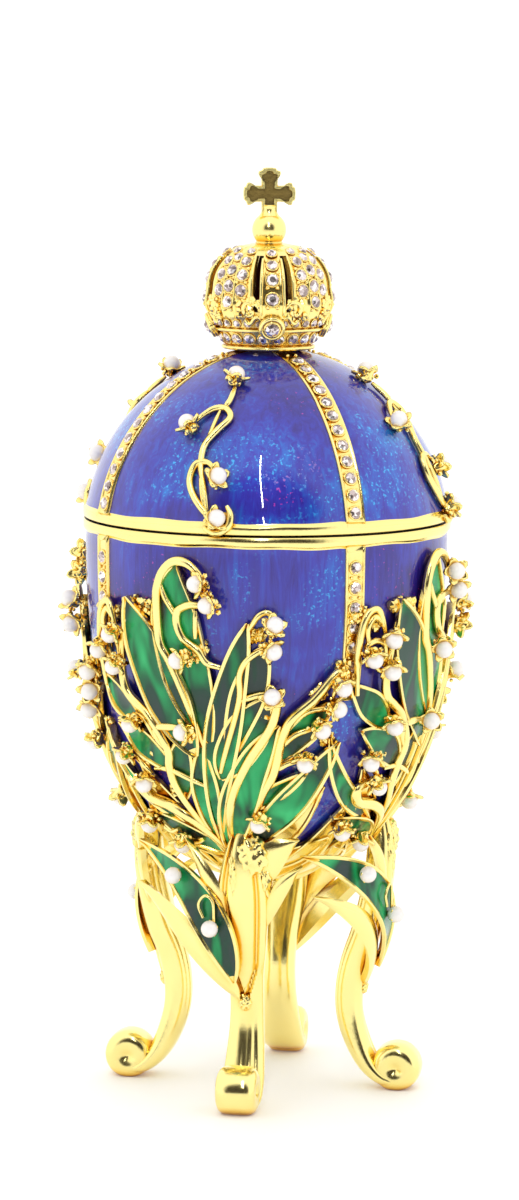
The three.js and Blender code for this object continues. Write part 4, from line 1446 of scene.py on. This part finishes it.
def rough_patches(chance):
    """The rough places' lumps: where, the way they face, and size."""
    lumps = []
    for angle, drop in ROUGH_PATCHES:
        for _ in range(PATCH_LUMPS):
            aside, along = [chance.uniform(-reach, reach) for reach in PATCH_REACH]
            place = on_egg(bowl_at, angle + aside, drop + along, chance.uniform(0.1, 0.8))
            outward = Vector((place.x, place.y, 0)).normalized()
            lumps.append((place, outward, chance.uniform(0.9, 1.9)))
    return lumps


def make_spray(side, degrees):
    """One casting with its pearls: leg, leaves, stems and flower cups."""
    turn = Matrix.Rotation(math.radians(degrees), 3, "Z")
    form = Form()
    add_leg(form)
    add_foot(form)
    add_lumps(form)
    add_bracts(form)
    leg = form.turned(degrees).piece(f"leg_{side}", [GOLD, GREEN])
    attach(leg, "root")
    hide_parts(f"leg_and_spray_{side}")
    form = Form()
    add_leaves(form)
    leaves = form.turned(degrees).piece(f"leaves_{side}", [GOLD, GREEN])
    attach(leaves, "root")
    runs = []
    for thickness, places in STEMS:
        run = smooth_run([turn @ on_egg(bowl_at, angle, drop, STEM_LIFT) for angle, drop in places])
        runs.append((run, STEM_MIDDLE * thickness, STEM_END * thickness))
    loop = smooth_run([turn @ leg_point(*place) for place in LEG_LOOP])
    runs.append((loop, LEG_LOOP_RADIUS, LEG_LOOP_RADIUS))
    draw_wires(f"stems_{side}", runs)
    pearls, cups, crumbs = [], [], []
    chance = random.Random(4)
    for angle, drop, lean in FLOWERS:
        centre, facing = flower_place(bowl_at, angle, drop, lean, PEARL_LIFT)
        pearls.append((turn @ centre, turn @ facing, 1.0))
        cups.append((turn @ (centre - facing * CUP_SETBACK), turn @ facing, 1.0))
        for place, size in crumbs_round(centre, facing, chance):
            crumbs.append((turn @ place, turn @ facing, size))
    for across, out, up in LEG_PEARLS:
        centre = turn @ leg_point(across, out, up)
        facing = turn @ leg_point(across, out, 0).normalized()
        pearls.append((centre, facing, 1.0))
        cups.append((centre - facing * LEG_CUP_SETBACK, facing, LEG_CUP_SIZE))
    own = set_out(f"pearls_{side}", PEARLS, PEARL_RADIUS, pearls)
    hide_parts(*[f"pearl_{side}_{i + 1}" for i in range(OWN_PEARLS)])
    set_out(f"cups_{side}", CUPS, CUP_RADIUS, cups)
    for place, outward, size in rough_patches(chance):
        crumbs.append((turn @ place, turn @ outward, size))
    set_out(f"crumbs_{side}", ROUGH_CRUMBS, CRUMB_RADIUS, crumbs)


def make_lid_sprays():
    """The small sprays on the lid, one in each panel."""
    runs, pearls, cups, crumbs = [], [], [], []
    chance = random.Random(9)
    for i in range(len(SIDES)):
        facing = EGG_TURN + QUARTER * i
        for thickness, places in LID_STEMS:
            run = smooth_run([on_egg(lid_at, facing + angle, rise, LID_STEM_LIFT)
                              for angle, rise in places])
            runs.append((run, thickness, LID_STEM_END * thickness))
        curl = smooth_run([on_egg(lid_at, facing + angle, rise, LID_CURL_LIFT)
                           for angle, rise in LID_CURL])
        runs.append((curl, *LID_CURL_RADII))
        for angle, rise, lean in LID_FLOWERS:
            centre, outward = flower_place(
                lid_at, facing + angle, rise, lean, LID_PEARL_LIFT)
            pearls.append((centre, outward, 1.0))
            cups.append((centre - outward * CUP_SETBACK, outward, 1.0))
            for place, size in crumbs_round(centre, outward, chance):
                crumbs.append((place, outward, size))
    draw_wires("lid_stems", runs)
    own = set_out("lid_pearls", PEARLS, PEARL_RADIUS, pearls)
    count = len(LID_FLOWERS)
    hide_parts(*[f"lid_pearl_{side}_{j + 1}" for side in SIDES for j in range(count)])
    set_out("lid_cups", CUPS, CUP_RADIUS, cups)
    set_out("lid_crumbs", ROUGH_CRUMBS, CRUMB_RADIUS, crumbs)


# The stage: a white floor, a white tent whose front is dark, and a narrow light.
CAMERA_AZIMUTH = 10.4
CAMERA_DISTANCE = 600.0
CAMERA_HEIGHT = 148.0
CAMERA_PITCH = 7.46
FOCAL_LENGTH = 128.46
CAMERA_YAW = 0.094
CAMERA_ROLL = 0.4
FLOOR_REACH = 3000.0
STRIP_AZIMUTH = 7.0
STRIP_DISTANCE = 520.0
STRIP_HEIGHT = 484.0
STRIP_AIM = 80.0
STRIP_SIZE = (7.0, 380.0)
STRIP_POWER = 0.6
TENT_STRENGTH = 1.25
TENT_FRONT = 0.76
WHITE = (1.0, 1.0, 1.0)


def make_floor():
    """White paper that glows a little, so that it stays plain."""
    form = Form()
    corners = ((-1, -1), (1, -1), (1, 1), (-1, 1))
    form.points = [Vector((x * FLOOR_REACH, y * FLOOR_REACH, 0)) for x, y in corners]
    form.face(range(4))
    paper, graph, shader, where = new_finish("white paper")
    cloud = graph.noise(where, 30.0)
    tone = graph.mix(cloud, (0.93, 0.93, 0.92), (0.96, 0.96, 0.955))
    feed(graph, shader, {"Base Color": tone, "Roughness": 0.6,
                         "Emission Color": WHITE, "Emission Strength": 0.12})
    form.piece("floor", [paper])


def make_tent():
    """A bright tent all round, seen as white, with a dark opening behind the camera."""
    world = bpy.data.worlds.new("light tent")
    world.use_nodes = True
    bpy.context.scene.world = world
    graph = Graph(world.node_tree)
    facing = around(CAMERA_AZIMUTH, 1.0, 0.18).normalized()
    where = graph.node("ShaderNodeTexCoord", {}, {})
    ways = {0: where, 1: tuple(facing)}
    towards = graph.node("ShaderNodeVectorMath", {"operation": "DOT_PRODUCT"}, ways, out=1)
    opening = ((towards - TENT_FRONT) * 10.0).clamped()
    seen = graph.node("ShaderNodeLightPath", {}, {})
    tent = graph.mix(opening, (0.97, 0.97, 0.98), (0.03, 0.025, 0.025))
    colour = graph.mix(seen, tent, WHITE)
    background = world.node_tree.nodes["Background"]
    graph.tree.links.new(colour.socket, background.inputs["Color"])
    background.inputs["Strength"].default_value = TENT_STRENGTH


def make_strip_light():
    """The tall narrow light that draws the line down the enamel."""
    light = bpy.data.lights.new("tall_strip", "AREA")
    light.shape = "RECTANGLE"
    light.size, light.size_y = [length * MM for length in STRIP_SIZE]
    light.energy = STRIP_POWER
    lamp = linked("tall_strip", light)
    lamp.location = around(STRIP_AZIMUTH, STRIP_DISTANCE, STRIP_HEIGHT) * MM
    towards = Vector((0, 0, STRIP_AIM * MM)) - lamp.location
    lamp.rotation_euler = towards.to_track_quat("-Z", "Y").to_euler()


def make_camera():
    """The photograph's camera."""
    camera = bpy.data.cameras.new("camera")
    camera.lens = FOCAL_LENGTH
    camera.sensor_width = 36.0
    camera.clip_end = 10.0
    view = linked("camera", camera)
    view.location = around(CAMERA_AZIMUTH, CAMERA_DISTANCE, CAMERA_HEIGHT) * MM
    aim = Matrix.Rotation(math.radians(CAMERA_AZIMUTH + CAMERA_YAW), 3, "Z")
    aim = aim @ Matrix.Rotation(math.radians(90 - CAMERA_PITCH), 3, "X")
    aim = aim @ Matrix.Rotation(math.radians(CAMERA_ROLL), 3, "Z")
    view.rotation_euler = aim.to_euler()
    bpy.context.scene.camera = view
    bpy.context.scene.view_settings.view_transform = "Standard"


make_floor()
make_tent()
make_strip_light()
make_camera()
make_shells()
make_band_stones()
make_crown()
make_crown_stones()
make_crown_ornament()
make_cross()
make_lid_sprays()
for number, side_name in enumerate(SIDES):
    make_spray(side_name, QUARTER * number)
